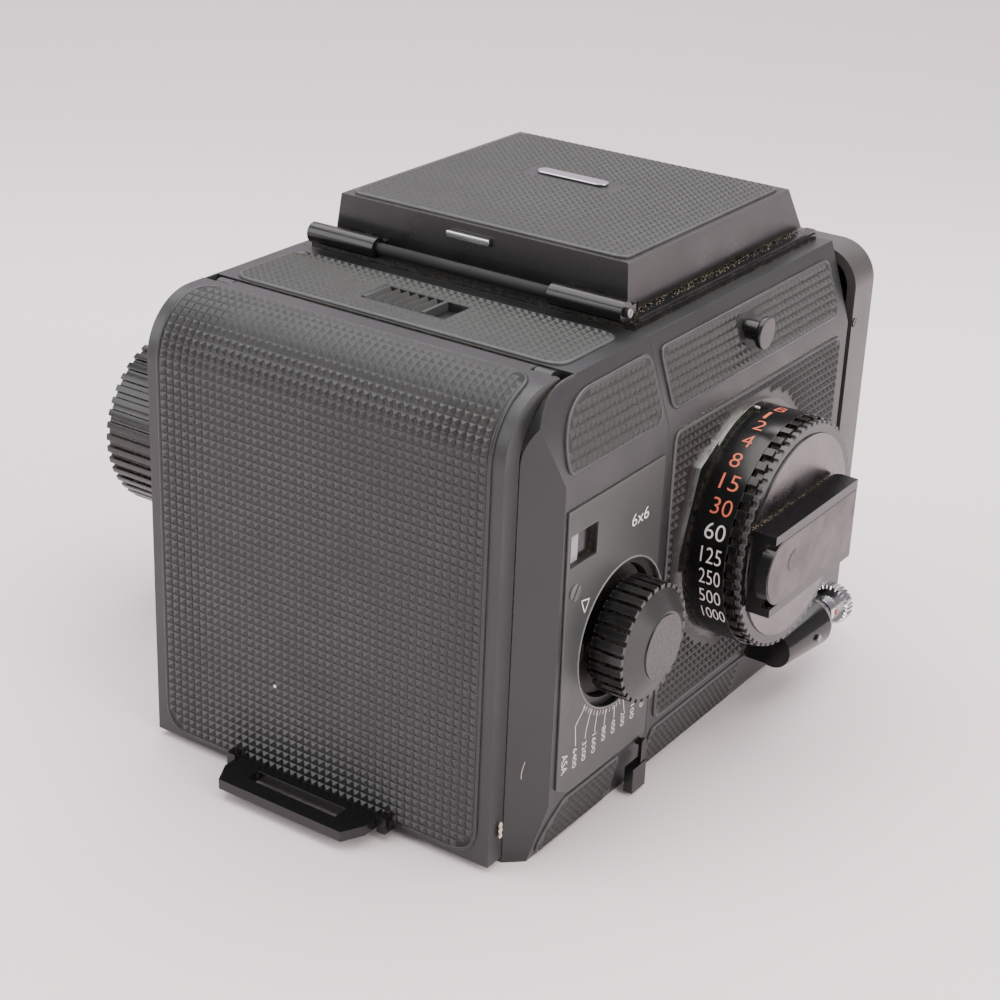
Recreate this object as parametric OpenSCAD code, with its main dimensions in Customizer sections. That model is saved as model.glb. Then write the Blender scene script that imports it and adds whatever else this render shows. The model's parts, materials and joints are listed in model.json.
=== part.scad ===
// Medium-format single-lens reflex camera with a film magazine and a folding hood.
// Millimetres. +Z up, -Y towards the lens, -X towards the speed dial and crank.
// Origin: mouth of the tripod socket, on the base plane.

/* [Housing] */
// Height of the body and magazine top
body_h = 103; // [100:0.5:106]
// Front face of the body
body_front_y = -45; // [-47:0.5:-44]
// Joint between body and magazine
magazine_y = 38; // [37:0.5:39]
// Rear face of the magazine cover
rear_y = 88; // [86:0.5:90]
// Half width at the side faces, dial side
side_half = 51.7; // [51:0.1:53]
// Half width at the side faces, focusing side
left_half = 48; // [47.5:0.1:49]
// Half width at the top edge
top_half = 45.5; // [45:0.1:46]
// Height of the ridge where the side starts to lean in
ridge_z = 84.5; // [80:0.5:88]
// Height of the bevel along the base
bevel_z = 13; // [11:0.5:15]
// Wall thickness of the castings
wall = 2.6; // [2.2:0.1:3]
// Thickness of the leather covering
leather_t = 0.6; // [0.4:0.1:0.8]

/* [Optics] */
// Height of the optical axis
axis_z = 51; // [50:0.5:52]
// Side of the film and shutter gates
gate = 56; // [54:1:57]
// Radius of the bayonet throat
throat_r = 28; // [26:0.5:29]
// Front face of the front standard
standard_front_y = -57; // [-58:0.5:-56]
// Length of the reflex mirror
mirror_len = 66; // [60:1:66]

/* [Hood] */
// Height of the closed hood
hood_top_z = 115.3; // [114:0.1:117]
// Half width of the lid at the top
lid_half = 37; // [36:0.5:37]
// Height of the side walls when they stand
hood_wall_h = 33; // [26:1:33]

/* [Dial and crank] */
// Centre of the speed dial, from the origin
dial_y = 2; // [1:0.5:3]
// Height of the speed dial
dial_z = 51.3; // [50:0.1:53]
// Radius of the dial's base plate
dial_r = 27.7; // [27:0.1:28]
// Radius of the crank's cap
cap_r = 23.2; // [22:0.1:24]

/* [Magazine controls] */
// Winding knob axis, along Y
wind_y = 52.7; // [52:0.1:53]
// Winding knob axis, height
wind_z = 43.7; // [43:0.1:45]
// Winding knob radius over the ribs
wind_r = 12.9; // [12:0.1:13]
// Teeth on the winding gear
wind_teeth = 23; // [23:1:23]
// Teeth on the take-up gear
take_teeth = 30; // [30:1:30]

/* [Focusing] */
// Focusing knob axis, along Y
focus_y = 25.7; // [25:0.1:26]
// Focusing knob axis, height
focus_z = 44.1; // [44:0.1:45]
// Focusing knob radius over the ribs
focus_r = 22.2; // [21:0.1:22.2]
// Outer face of the focusing knob
focus_x = 98; // [94:1:98]
// Teeth on the knob gear, the idler and the pinion
focus_teeth = [17, 34, 19];

/* [Hidden] */
$fn = 64;

black = "#2b2c2e";
satin = "#3a3b3d";
hide = "#333436";
steel = "#b9babc";
brass = "#b59a5a";
glass = "#9fb6c4";
running = 0.05; // radial clearance of a shaft in its bore
gap = 0.3; // clearance between parts that pass each other
gear_depth = 0.8;
tooth_pitch = PI;

// Cover curve, seen from the side
shoulder_y = 74.6;
shoulder_z = 90;
shoulder_r = rear_y - shoulder_y;
cover_half = 45;
cover_t = 2.4;
cover_lip = 5;
cover_pin_y = 68;
cover_pin_z = 101.5;
knuckle_r = 1.9;
cheek_y = 82;

// Hood hinges
lid_pin_y = body_front_y + 0.2;
lid_pin_z = 105.9;
rear_pin_y = 39;
rear_pin_z = 107;
side_pin_x = 34.9;
side_pin_z = 106.7;

mirror_y = 26;
mirror_z = 87;
rail_in = 37.8;
rail_out = 41;
pinion_y = focus_y - (focus_teeth[0] + 2 * focus_teeth[1] + focus_teeth[2]) / 2;
idler_y = focus_y - (focus_teeth[0] + focus_teeth[1]) / 2;
rack_pitch_z = focus_z - focus_teeth[2] / 2;
rack_tooth_y = pinion_y + 3 * tooth_pitch / 4;
gear_in = 42.4;
gear_out = 44.8;
board_half = 37.2;
tilt_y = -53;
slide_y = 48.9;
slide_t = 0.7;

take_y = 65;
take_z = wind_z - sqrt(pow((wind_teeth + take_teeth) / 2, 2) - pow(take_y - wind_y, 2));
supply_z = 81;
spool_r = 12.5;
mag_in = -40; // inner face of the dial-side wall of the film chamber
mag_left = 43;
gear_x = -45.2;
recess_x = -47.5;
recess_r = 14.6;
lever_y = 40.6;
lever_z = 11.6;
window_y = [64.4, 74.2];
window_z = [66.4, 73.4];

ring_in = 20 + running;
crank_pin_y = -11.6;
crank_pin_x = -68.7;
release_x = -59;
release_z = 16;
release_y = -25; // front end of the release barrel's taper
bail_y = 90.2;
bail_z = 3.8;

// A prism from y0 to y1 of an outline drawn in X and Z
module prism_y(y0, y1) {
    translate([0, y1, 0]) rotate([90, 0, 0]) linear_extrude(y1 - y0) children();
}

// A prism from x0 to x1 of an outline drawn in Y and Z
module prism_x(x0, x1) {
    translate([x0, 0, 0]) rotate([90, 0, 90]) linear_extrude(x1 - x0) children();
}

// A box between two corners
module block(a, b) {
    translate(a) cube(b - a);
}

// A round bar along X from x0 to x1 at a height and depth
module bar_x(x0, x1, y, z, r) {
    translate([x0, y, z]) rotate([0, 90, 0]) cylinder(h = x1 - x0, r = r);
}

// A round bar along Y from y0 to y1
module bar_y(y0, y1, x, z, r) {
    translate([x, y1, z]) rotate([90, 0, 0]) cylinder(h = y1 - y0, r = r);
}

module rounded(x0, z0, x1, z1, r) {
    translate([x0 + r, z0]) square([x1 - x0 - 2 * r, z1 - z0]);
    translate([x0, z0 + r]) square([x1 - x0, z1 - z0 - 2 * r]);
    for (x = [x0 + r, x1 - r], z = [z0 + r, z1 - r]) translate([x, z]) circle(r);
}

module mirrored() {
    children();
    mirror([1, 0, 0]) children();
}

// Cross-section shared by the body and the magazine; i moves its faces inwards
module housing_2d(i) {
    polygon([
        [-(side_half - 3 - i), i], [-(side_half - i), bevel_z], [-(side_half - i), ridge_z],
        [-(top_half - i), body_h - i], [top_half - i, body_h - i], [left_half - i, ridge_z],
        [left_half - i, bevel_z], [left_half - 2.5 - i, i]
    ]);
}

// Side view of the cover's outer curve, from y0 back; i moves it inwards
module cover_2d(i, y0, z0 = 1.5) {
    translate([y0, z0]) square([rear_y - i - y0, shoulder_z - z0]);
    translate([y0, shoulder_z]) square([shoulder_y - y0, shoulder_r - i]);
    translate([shoulder_y, shoulder_z]) intersection() {
        circle(shoulder_r - i);
        square(shoulder_r + 1);
    }
}

// Toothed outline; each tooth is a trapezoid thinner than half the pitch
module gear_2d(teeth, phase) {
    step = 360 / teeth;
    r = teeth / 2;
    polygon([
        for (k = [0:teeth - 1], p = [[-0.3, -1], [-0.09, 0.75], [0.09, 0.75], [0.3, -1]])
            (r + p[1] * gear_depth) * [cos(phase + (k + p[0]) * step), sin(phase + (k + p[0]) * step)]
    ]);
}

// Outline with square notches round its rim
module notched_2d(r, depth, count, duty = 0.5) {
    step = 360 / count;
    polygon([
        for (k = [0:count - 1], p = [[0, 0], [duty, 0], [duty, 1], [1, 1]])
            (r - p[1] * depth) * [cos((k + p[0]) * step), sin((k + p[0]) * step)]
    ]);
}

// ---- Body ----

module body_shell() {
    color(satin) difference() {
        prism_y(body_front_y, magazine_y - 0.15) housing_2d(0);
        prism_y(body_front_y + 2, 35.3) housing_2d(wall);
        block([-36, body_front_y - 1, 16], [36, body_front_y + 3, 88.5]);
        mirrored() block([rail_in - gap, body_front_y - 1, 29.7], [rail_out + gap, body_front_y + 3, 36]);
        block([-35.2, -33.2, body_h - wall - 1], [35.2, 35, body_h + 1]);
        block([-gate / 2 - 3, 34, axis_z - 31], [gate / 2 + 3, magazine_y + 1, axis_z + 31]);
        translate([0, 0, -1]) cylinder(h = 6, r = 9);
        bar_x(40, 60, focus_y, focus_z, 4 + running);
        bar_x(-60, -40, dial_y, dial_z, 6 + running);
    }
}

module tripod_socket() {
    color(steel) difference() {
        union() {
            cylinder(h = wall, r = 9);
            translate([0, 0, wall]) cylinder(h = 8 - wall, r = 12);
        }
        translate([0, 0, -1]) cylinder(h = 10, r = 3.97);
    }
}

module mirror_box() {
    color("#1d1e20") difference() {
        block([-35, body_front_y + 2, 14], [35, 29.9, 91.9]);
        block([-33, body_front_y + 1, 16], [33, 28.4, 95]);
        block([-gate / 2, 25, axis_z - gate / 2], [gate / 2, 32, axis_z + gate / 2]);
        bar_x(-40, 40, mirror_y, mirror_z, 1 + running);
    }
}

module screen_frame() {
    color(black) difference() {
        block([-35, -33, 91.9], [35, 34.8, 100.4]);
        block([-gate / 2, -27, 91], [gate / 2, 29, 97]);
        block([-gate / 2 - 2, -29, 96], [gate / 2 + 2, 31, 101]);
    }
}

module focusing_screen() {
    color(glass) block([-gate / 2 - 1.9, -28.9, 96], [gate / 2 + 1.9, 30.9, 98.4]);
}

module shutter_gate() {
    color(black) difference() {
        block([-40, 29.9, 18], [40, 30.9, 86]);
        block([-gate / 2, 29, axis_z - gate / 2], [gate / 2, 32, axis_z + gate / 2]);
    }
}

module shutter_curtain() {
    color("#26262a") block([-34.1, 31.6, 20], [34.1, 31.9, 84]);
}

module shutter_rollers() {
    color(steel) mirrored() translate([35.6, 33.3, 19]) cylinder(h = 66, r = 1.5);
}

module hood_base() {
    color(black) difference() {
        union() {
            block([-42, -43.6, body_h], [42, magazine_y - 0.3, body_h + 1.4]);
            mirrored() block([39.2, -43.6, body_h + 1.4], [41.6, 35.4, body_h + 2.2]);
            mirrored() bar_x(22.5, 40.5, rear_pin_y, rear_pin_z, 2.3);
            mirrored() block([22.5, 35.2, body_h + 1.4], [40.5, 37.7, rear_pin_z + 1]);
            mirrored() bar_x(14.3, 20, lid_pin_y, lid_pin_z, knuckle_r);
            mirrored() block([14.3, lid_pin_y - 1.7, body_h], [20, lid_pin_y + 0.9, lid_pin_z]);
            for (y = [-28, 24]) mirrored() {
                bar_y(y, y + 4, side_pin_x, side_pin_z, 1.2);
                block([side_pin_x - 1.2, y, body_h + 1.4], [side_pin_x + 1.2, y + 4, side_pin_z]);
            }
        }
        block([-31, -29, body_h - 1], [31, 31, body_h + 3]);
        mirrored() bar_x(22, 41, rear_pin_y, rear_pin_z, 1 + running);
        mirrored() bar_x(14, 21, lid_pin_y, lid_pin_z, 0.9 + running);
        mirrored() bar_y(-30, 30, side_pin_x, side_pin_z, 0.6 + running);
    }
}

// Leather strip that follows the housing section between two heights
module side_leather(y0, y1, z0, z1, side) {
    intersection() {
        prism_y(y0, y1) difference() {
            housing_2d(-leather_t);
            housing_2d(0);
        }
        block([side < 0 ? -60 : 40, y0 - 1, z0], [side < 0 ? -40 : 60, y1 + 1, z1]);
    }
}

module body_leather_right() {
    color(hide) {
        side_leather(-41, 35.4, ridge_z + 2.5, body_h - 3, -1);
        difference() {
            side_leather(-41, 35.4, bevel_z + 1.5, ridge_z - 2, -1);
            prism_x(-60, -40) dial_plate_2d(0.1);
            block([-60, -29, 4], [-40, -6, 24]);
        }
        difference() {
            side_leather(-41, 35.4, 1, bevel_z - 0.5, -1);
            block([-60, -29, 4], [-40, -6, 24]);
        }
    }
}

module body_leather_left() {
    color(hide) {
        side_leather(-41, 35.4, ridge_z + 2.5, body_h - 3, 1);
        difference() {
            side_leather(-41, 35.4, bevel_z + 1.5, ridge_z - 2, 1);
            bar_x(40, 60, focus_y, focus_z, 8);
        }
        side_leather(-41, 35.4, 1, bevel_z - 0.5, 1);
    }
}

module strap_lug(face) {
    bar_x(face, face + 6, 1, 95, 2.2);
    bar_x(face + 6, face + 7.4, 1, 95, 3.6);
}

module strap_lugs() {
    color(black) {
        difference() {
            strap_lug(44);
            prism_y(-10, 10) housing_2d(-leather_t);
        }
        difference() {
            mirror([1, 0, 0]) strap_lug(46.4);
            prism_y(-10, 10) housing_2d(-leather_t);
        }
    }
}

// The dial's plate: a disc with one straight-sided corner; grow widens the disc
module dial_plate_2d(grow) {
    translate([dial_y, dial_z]) {
        circle(dial_r + grow);
        polygon([[16, 24], [23, 20], [29.5, 2], [29.5, -2], [22, -4], [12, 10]]);
    }
}

module dial_base_plate() {
    color(steel) difference() {
        prism_x(-53, -side_half) dial_plate_2d(0);
        bar_x(-60, -50, dial_y, dial_z, 6 + running);
    }
}

module release_housing() {
    color(black) difference() {
        union() {
            translate([release_x, release_y + 18, release_z]) rotate([90, 0, 0])
                cylinder(h = 18, r1 = 4.4, r2 = 6.1);
            translate([release_x, release_y, release_z]) rotate([90, 0, 0])
                cylinder(h = 2.5, r1 = 6.1, r2 = 5.2);
            block([release_x + 1, release_y, release_z - 4], [-side_half, release_y + 18, release_z + 4]);
        }
        bar_y(release_y - 3, release_y + 14, release_x, release_z, 2.2 + running);
        translate([release_x - 7, release_y + 6, release_z]) rotate([0, 90, 0]) cylinder(h = 1.4, r = 1);
    }
}

module standard_guides() {
    color("#55575a") mirrored() {
        block([rail_in - 0.6, body_front_y + 2, 26], [rail_out + 1.2, 26, 29.9]);
        block([rail_out + 0.2, body_front_y + 2, 29.9], [rail_out + 1.2, 26, 32.5]);
    }
}

module focus_studs() {
    color(steel) for (y = [idler_y, pinion_y]) bar_x(35, left_half - wall, y, focus_z, 1.5);
}

// ---- Folding hood ----

module lid_block(i) {
    intersection() {
        prism_y(-60, 60) polygon([
            [-lid_half - 1 + i, 104.9 - i], [lid_half + 1 - i, 104.9 - i],
            [lid_half - i, hood_top_z - i], [-lid_half + i, hood_top_z - i]
        ]);
        prism_x(-60, 60) polygon([
            [-43.4 + i, 104.9 - i], [34.3 - i, 104.9 - i],
            [33.5 - i, hood_top_z - i], [-37 + i, hood_top_z - i]
        ]);
    }
}

module lid_shell() {
    color(black) difference() {
        union() {
            lid_block(0);
            bar_x(-14, 14, lid_pin_y, lid_pin_z, knuckle_r);
            block([-14, lid_pin_y, lid_pin_z - 1], [14, lid_pin_y + 2.6, lid_pin_z + knuckle_r]);
            bar_x(-20.5, 20.5, lid_pin_y, lid_pin_z, 0.9);
        }
        difference() {
            lid_block(1.5);
            block([-40, -60, lid_pin_z - 3], [40, lid_pin_y + 2.6, lid_pin_z + 3]);
        }
        block([-40, 30, 100], [40, 40, 106.4]);
        mirrored() difference() {
            bar_x(14.01, 20.5, lid_pin_y, lid_pin_z, 2.2);
            bar_x(14, 21, lid_pin_y, lid_pin_z, 0.9);
        }
        block([-3.7, 28, 111.6], [7.7, 36, 113.4]);
    }
}

module lid_leather() {
    color(hide) block([-35.4, -35.2, hood_top_z], [35.4, 31.8, hood_top_z + leather_t]);
}

module lid_badge() {
    color(steel) translate([4, -9.5, hood_top_z + leather_t]) linear_extrude(0.5) {
        square([15, 3.6], center = true);
        for (x = [-7.5, 7.5]) translate([x, 0]) circle(1.8);
    }
}

module magnifier_frame() {
    color(black) translate([0, -4, 0]) difference() {
        union() {
            translate([0, 0, 110]) cylinder(h = 3.8, r = 16);
            block([-4, 14, 112], [4, 24, 113.8]);
        }
        translate([0, 0, 109]) cylinder(h = 4, r = 14);
    }
}

module magnifier_lens() {
    color(glass) translate([0, -4, 110.4]) cylinder(h = 2.6, r = 14);
}

module latch_tab() {
    color(steel) {
        block([-3.6, 30.6, 111.7], [7.6, 34.9, 113.3]);
        block([-3.6, 29.6, 109.8], [7.6, 30.6, 113.3]);
    }
}

module hood_rear_wall() {
    color(black) {
        bar_x(-21.9, 21.9, rear_pin_y, rear_pin_z, 1.3);
        bar_x(-41.2, 41.2, rear_pin_y, rear_pin_z, 1);
        block([-21.9, rear_pin_y - 6.5, 105], [21.9, rear_pin_y, 105.8]);
        translate([0, 0, 105]) linear_extrude(0.8) polygon([
            for (s = [[6, 1], [29, 1], [29, -1], [6, -1]])
                [s[1] * (33.5 - 0.85 * s[0]), rear_pin_y - s[0]]
        ]);
    }
}

module hood_side_wall() {
    color(black) {
        bar_y(-31, 31, side_pin_x, side_pin_z, 0.6);
        bar_y(-23.7, 23.7, side_pin_x, side_pin_z, 1.1);
        translate([0, 0, side_pin_z - 0.4]) linear_extrude(0.8) polygon([
            [side_pin_x, -23.7], [side_pin_x, 23.7], [side_pin_x - 1.6, 23.7], [side_pin_x - 1.6, 32],
            [side_pin_x - hood_wall_h, 32], [side_pin_x - hood_wall_h, -5], [side_pin_x - 5, -33],
            [side_pin_x - 1.6, -33], [side_pin_x - 1.6, -23.7]
        ]);
    }
}

module hood_left_wall() hood_side_wall();
module hood_right_wall() mirror([1, 0, 0]) hood_side_wall();

// ---- Film magazine ----

module magazine_shell() {
    color(satin) difference() {
        union() {
            difference() {
                intersection() {
                    prism_y(magazine_y, 83) housing_2d(0);
                    linear_extrude(200) polygon([
                        [-60, 30], [60, 30], [60, 76], [left_half, 79],
                        [cover_half, 82.7], [-cover_half, 82.7], [-side_half, 76.5], [-60, 70]
                    ]);
                    prism_x(-60, 60) {
                        translate([30, 0]) square([cheek_y + 0.7 - 30, 89]);
                        translate([30, 80]) square([38.7, 30]);
                        translate([68.7, 89]) circle(14);
                    }
                }
                difference() {
                    block([-cover_half - 0.25, 65.5, -1], [cover_half + 0.25, 100, 110]);
                    prism_x(-50, 50) cover_2d(cover_lip + gap, 60, 0);
                }
                intersection() {
                    block([mag_in, magazine_y + 2.5, 4], [mag_left, 100, 95.6]);
                    prism_x(-50, 50) {
                        cover_2d(7.8, 30, 0);
                        translate([60, 0]) square([40, 86]);
                    }
                }
            }
            mirrored() {
                bar_x(38.3, 42.3, cover_pin_y, cover_pin_z, knuckle_r);
                block([38.3, cover_pin_y - 1.6, 97.5], [42.3, cover_pin_y + 1.6, cover_pin_z]);
            }
        }
        mirrored() bar_x(38, 45, cover_pin_y, cover_pin_z, 0.9 + running);
        difference() {
            bar_x(-60, recess_x, wind_y, wind_z, recess_r);
            bar_x(recess_x - 1.7, recess_x + 1, wind_y, wind_z, 6);
        }
        bar_x(-60, recess_x - 3.2, wind_y, wind_z, 16.3);
        bar_x(-60, -40, wind_y, wind_z, 3 + running);
        bar_x(gear_x - 0.4, -42.8, wind_y, wind_z, 13);
        bar_x(gear_x - 0.4, -42.8, take_y, take_z, 16.4);
        bar_x(-43, -39, take_y, take_z, 3 + running);
        bar_x(-41.5, -39, take_y, supply_z, 2 + running);
        bar_x(42, 44.6, take_y, supply_z, 2 + running);
        bar_x(42, 44.6, take_y, take_z, 2 + running);
        block([-gate / 2 - 3, magazine_y - 1, axis_z - 31], [gate / 2 + 3, magazine_y + 3, axis_z + 31]);
        block([40, slide_y - 0.2, 19.8], [60, slide_y + slide_t + 0.2, 84.2]);
        block([-9, 49, 101.4], [12.4, 58, 104]);
        block([-52, window_y[0], window_z[0]], [-49.5, window_y[1], window_z[1]]);
        bar_x(-60, -46, lever_y, lever_z, 0.8 + running);
    }
}

module magazine_side_plate() {
    color("#3f4042") difference() {
        prism_x(-side_half - 0.5, -side_half) polygon([
            [39.2, 79], [75.5, 79], [74.5, 16], [70, bevel_z + 0.5], [39.2, bevel_z + 0.5]
        ]);
        bar_x(-60, -50, wind_y, wind_z, 16.3);
        block([-60, window_y[0], window_z[0]], [-50, window_y[1], window_z[1]]);
    }
}

module magazine_leather() {
    color(hide) {
        intersection() {
            side_leather(39.2, 74, ridge_z + 1.5, body_h - 3, -1);
            prism_x(-60, -40) {
                translate([30, 80]) square([34, 30]);
                translate([63.5, 88.5]) circle(11);
            }
        }
        side_leather(49, 76, 1, bevel_z - 0.5, -1);
        difference() {
            side_leather(39.2, 74, bevel_z + 1.5, ridge_z - 2, 1);
            block([40, slide_y - 0.3, 19], [60, slide_y + slide_t + 0.3, 85]);
        }
        side_leather(39.2, 70, ridge_z + 2.5, body_h - 3, 1);
        difference() {
            block([-41.5, 42.6, body_h], [41.5, 64.6, body_h + 0.4]);
            block([-9, 49, 100], [12.4, 58, 110]);
        }
    }
}

module counter_window() {
    color(glass) block([-50.6, window_y[0], window_z[0]], [-49.5, window_y[1], window_z[1]]);
}

module film_gate() {
    color("#2a2b2d") difference() {
        block([mag_in + 0.2, slide_y + slide_t + 0.5, 14], [mag_left - 0.2, slide_y + slide_t + 2.2, 88]);
        block([-gate / 2, 45, axis_z - gate / 2], [gate / 2, 60, axis_z + gate / 2]);
    }
}

module pressure_plate() {
    color(steel) {
        block([-32, 52.4, 34.5], [32, 53.6, 67.5]);
        block([-3, 53.6, 36], [3, 57, 66]);
        block([mag_in, 57, 46], [mag_left, 58.2, 56]);
    }
}

module film_rollers() {
    color(steel) for (z = [10.5, 91]) bar_x(mag_in, mag_left, 48.3, z, 2.2);
}

module magazine_lever() {
    color(black) {
        block([-53.2, 39.5, 6], [-52.4, 41.7, 12]);
        block([-53.4, 39.5, 0.8], [-51.2, 45, 7]);
        bar_x(-53.2, -52.4, lever_y, lever_z, 1.1);
        bar_x(-52.4, -46.5, lever_y, lever_z, 0.8);
    }
}

module lock_slider() {
    color(black) difference() {
        block([-3.8, 49.3, 101.6], [12, 57.7, 103.6]);
        for (k = [0:5]) translate([-3 + 2.4 * k, 48, 103.6]) rotate([0, 32, 0])
            cube([2, 11, 1.4]);
    }
}

module film_speed_ring() {
    color("#6b6c6e") difference() {
        union() {
            bar_x(recess_x - 1.3, recess_x - 0.1, wind_y, wind_z, recess_r - 0.3);
            block([recess_x - 3, wind_y + 11.4, wind_z - 1.6], [recess_x - 1.3, wind_y + 14, wind_z + 1.6]);
        }
        bar_x(-60, -40, wind_y, wind_z, 6 + running);
    }
}

module winding_knob() {
    color(black) {
        prism_x(-60.1, -52.6) translate([wind_y, wind_z]) notched_2d(wind_r, 0.9, 30, 0.6);
        bar_x(-52.6, -50.4, wind_y, wind_z, 11);
        translate([-60.1, wind_y, wind_z]) rotate([0, -90, 0]) cylinder(h = 2.2, r1 = 12, r2 = 7.6);
        bar_x(-62.6, -62.3, wind_y, wind_z, 7.1);
        bar_x(-50.4, gear_x, wind_y, wind_z, 3);
    }
}

module winding_gear() {
    lean = atan2(take_z - wind_z, take_y - wind_y);
    color(brass) prism_x(gear_x, gear_x + 2) translate([wind_y, wind_z])
        gear_2d(wind_teeth, lean + 180 / wind_teeth);
}

module take_up_gear() {
    lean = atan2(wind_z - take_z, wind_y - take_y);
    color(brass) prism_x(gear_x, gear_x + 2) translate([take_y, take_z]) gear_2d(take_teeth, lean);
}

module spool(z, right_end, stub_r) {
    bar_x(-31, 31, take_y, z, 5.5);
    for (x = [-33, 31]) bar_x(x, x + 2, take_y, z, spool_r);
    bar_x(right_end, -33, take_y, z, stub_r);
    bar_x(33, 44.4, take_y, z, 2);
}

module take_up_spool() color(black) spool(take_z, gear_x + 2, 3);
module supply_spool() color(black) spool(supply_z, -41.3, 2);

module dark_slide() {
    color(steel) {
        block([-34, slide_y, 20], [48.8, slide_y + slide_t, 84]);
        difference() {
            block([48.8, slide_y - 0.3, 34], [56, slide_y + 1.3, 70]);
            block([51.4, slide_y - 2, 40], [53.8, slide_y + 3, 64]);
        }
    }
}

// ---- Back cover ----

module cover_shell() {
    color(satin) difference() {
        union() {
            prism_x(-cover_half, cover_half) difference() {
                cover_2d(0, 70.1);
                cover_2d(cover_t, 60, 1);
            }
            mirrored() prism_x(cover_half - cover_t, cover_half) difference() {
                cover_2d(0, 70.1);
                cover_2d(cover_lip, 60, 1);
            }
            bar_x(-38, 38, cover_pin_y, cover_pin_z, knuckle_r);
            block([-38, cover_pin_y, cover_pin_z - 0.5], [38, 70.2, cover_pin_z + knuckle_r]);
        }
        bar_x(-50, 50, cover_pin_y, cover_pin_z, 0.9);
    }
}

module cover_leather() {
    color(hide) intersection() {
        prism_x(-41, 41) difference() {
            cover_2d(-leather_t, 60, 4);
            cover_2d(0, 50, 1);
        }
        difference() {
            block([-50, 73.5, 4], [50, 100, 110]);
            mirrored() block([19.3, 80, 3], [21.7, 100, 5.8]);
        }
    }
}

module cover_hinge_pin() {
    color(steel) bar_x(-42.8, 42.8, cover_pin_y, cover_pin_z, 0.9);
}

module bail_brackets() {
    color(black) difference() {
        mirrored() block([19.4, rear_y, 1.9], [21.6, bail_y + 1.5, 5.7]);
        mirrored() bar_x(19, 22, bail_y, bail_z, 0.8 + running);
    }
}

module cover_bail() {
    color(black) {
        bar_x(-21.4, 21.4, bail_y, bail_z, 0.8);
        difference() {
            union() {
                bail_plate();
                bar_x(-19.1, 19.1, bail_y, bail_z, 1.2);
            }
            block([-12, 92.6, 0], [12, 96.2, 10]);
        }
    }
}

module bail_plate() {
    translate([0, 0, bail_z - 1.2]) linear_extrude(2.4) polygon([
        [-19.1, bail_y], [19.1, bail_y], [19.1, bail_y + 5], [16.5, bail_y + 10], [-16.5, bail_y + 10],
        [-19.1, bail_y + 5]
    ]);
}

// ---- Speed dial and crank ----

module speed_ring() {
    color(black) difference() {
        union() {
            bar_x(-62.3, -53.1, dial_y, dial_z, 26.4);
            prism_x(-64.4, -62.3) translate([dial_y, dial_z]) notched_2d(26.2, 1.2, 42);
        }
        bar_x(-70, -50, dial_y, dial_z, ring_in);
    }
}

module crank_disc() {
    color(satin) difference() {
        union() {
            prism_x(-65.9, -64.6) translate([dial_y, dial_z]) notched_2d(25.8, 0.7, 60);
            bar_x(-66.3, -65.9, dial_y, dial_z, cap_r);
            bar_x(-64.6, -53.2, dial_y, dial_z, 20);
            bar_x(-53.2, -44, dial_y, dial_z, 6);
            block([crank_pin_x, crank_pin_y - 1.5, dial_z - 3], [-66.3, crank_pin_y + 1.5, dial_z + 3]);
            translate([crank_pin_x, crank_pin_y, dial_z - 3]) cylinder(h = 6, r = 1.6);
        }
        translate([crank_pin_x, crank_pin_y, dial_z - 10]) cylinder(h = 20, r = 0.9 + running);
    }
}

module crank_handle() {
    color(black) translate([0, 0, dial_z + 0.2]) {
        translate([crank_pin_x, crank_pin_y, -8.5]) cylinder(h = 17, r = 0.9);
        difference() {
            union() {
                translate([0, 0, -9.5]) linear_extrude(19) {
                    translate([-70, crank_pin_y]) square([3.5, 36.7]);
                    translate([crank_pin_x, crank_pin_y]) circle(2.2);
                    translate([-70, -13.7]) square([1.3, 3]);
                }
                translate([-72.2, -13.7, -7.6]) cube([2.7, 34, 15.2]);
                for (z = [-9.5, 7.5]) translate([-72.2, -13.7, z]) cube([2.3, 38.8, 2]);
                translate([-72.2, 20.3, 0]) rotate([0, 90, 0]) cylinder(h = 2.7, r = 7.6);
            }
            translate([-70.6, -15, -6]) cube([8, 37, 12]);
        }
    }
}

module release_button() {
    color(steel) {
        bar_y(release_y - 14.5, release_y + 12, release_x, release_z, 2.2);
        bar_y(release_y - 15.4, release_y - 14.5, release_x, release_z, 3);
    }
}

module release_collar() {
    color(steel) difference() {
        union() {
            bar_y(release_y - 14.2, release_y - 10.6, release_x, release_z, 5.2);
            bar_y(release_y - 10.6, release_y - 6, release_x, release_z, 3.3);
        }
        bar_y(release_y - 20, release_y - 3, release_x, release_z, 2.2 + running);
        bar_y(release_y - 20, release_y - 12.2, release_x, release_z, 3.2);
    }
}

// ---- Front standard, bellows and focusing ----

module standard_frame() {
    color(satin) difference() {
        union() {
            difference() {
                prism_y(standard_front_y, -47.2) rounded(-side_half, 2.5, side_half, 100.5, 9);
                prism_y(standard_front_y + 2, -40) rounded(2.2 - side_half, 4.7, side_half - 2.2, 98.3, 7);
            }
            mirrored() block([38, -55.1, 47.5], [41.5, -50.5, 54.5]);
        }
        prism_y(-60, -54.9) translate([0, axis_z]) square(2 * (board_half + gap), center = true);
        mirrored() bar_x(37, 42, tilt_y, axis_z, 1.5 + running);
    }
}

module focusing_racks() {
    color("#6d6f72") {
        mirrored() block([rail_in, -55, 30], [rail_out, 27, rack_pitch_z - 1.1]);
        for (k = [-8:15]) translate([0, rack_tooth_y + k * tooth_pitch, rack_pitch_z])
            prism_x(rail_in, rail_out) polygon([[-0.9, -1.2], [0.9, -1.2], [0.3, 0.6], [-0.3, 0.6]]);
    }
}

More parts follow.
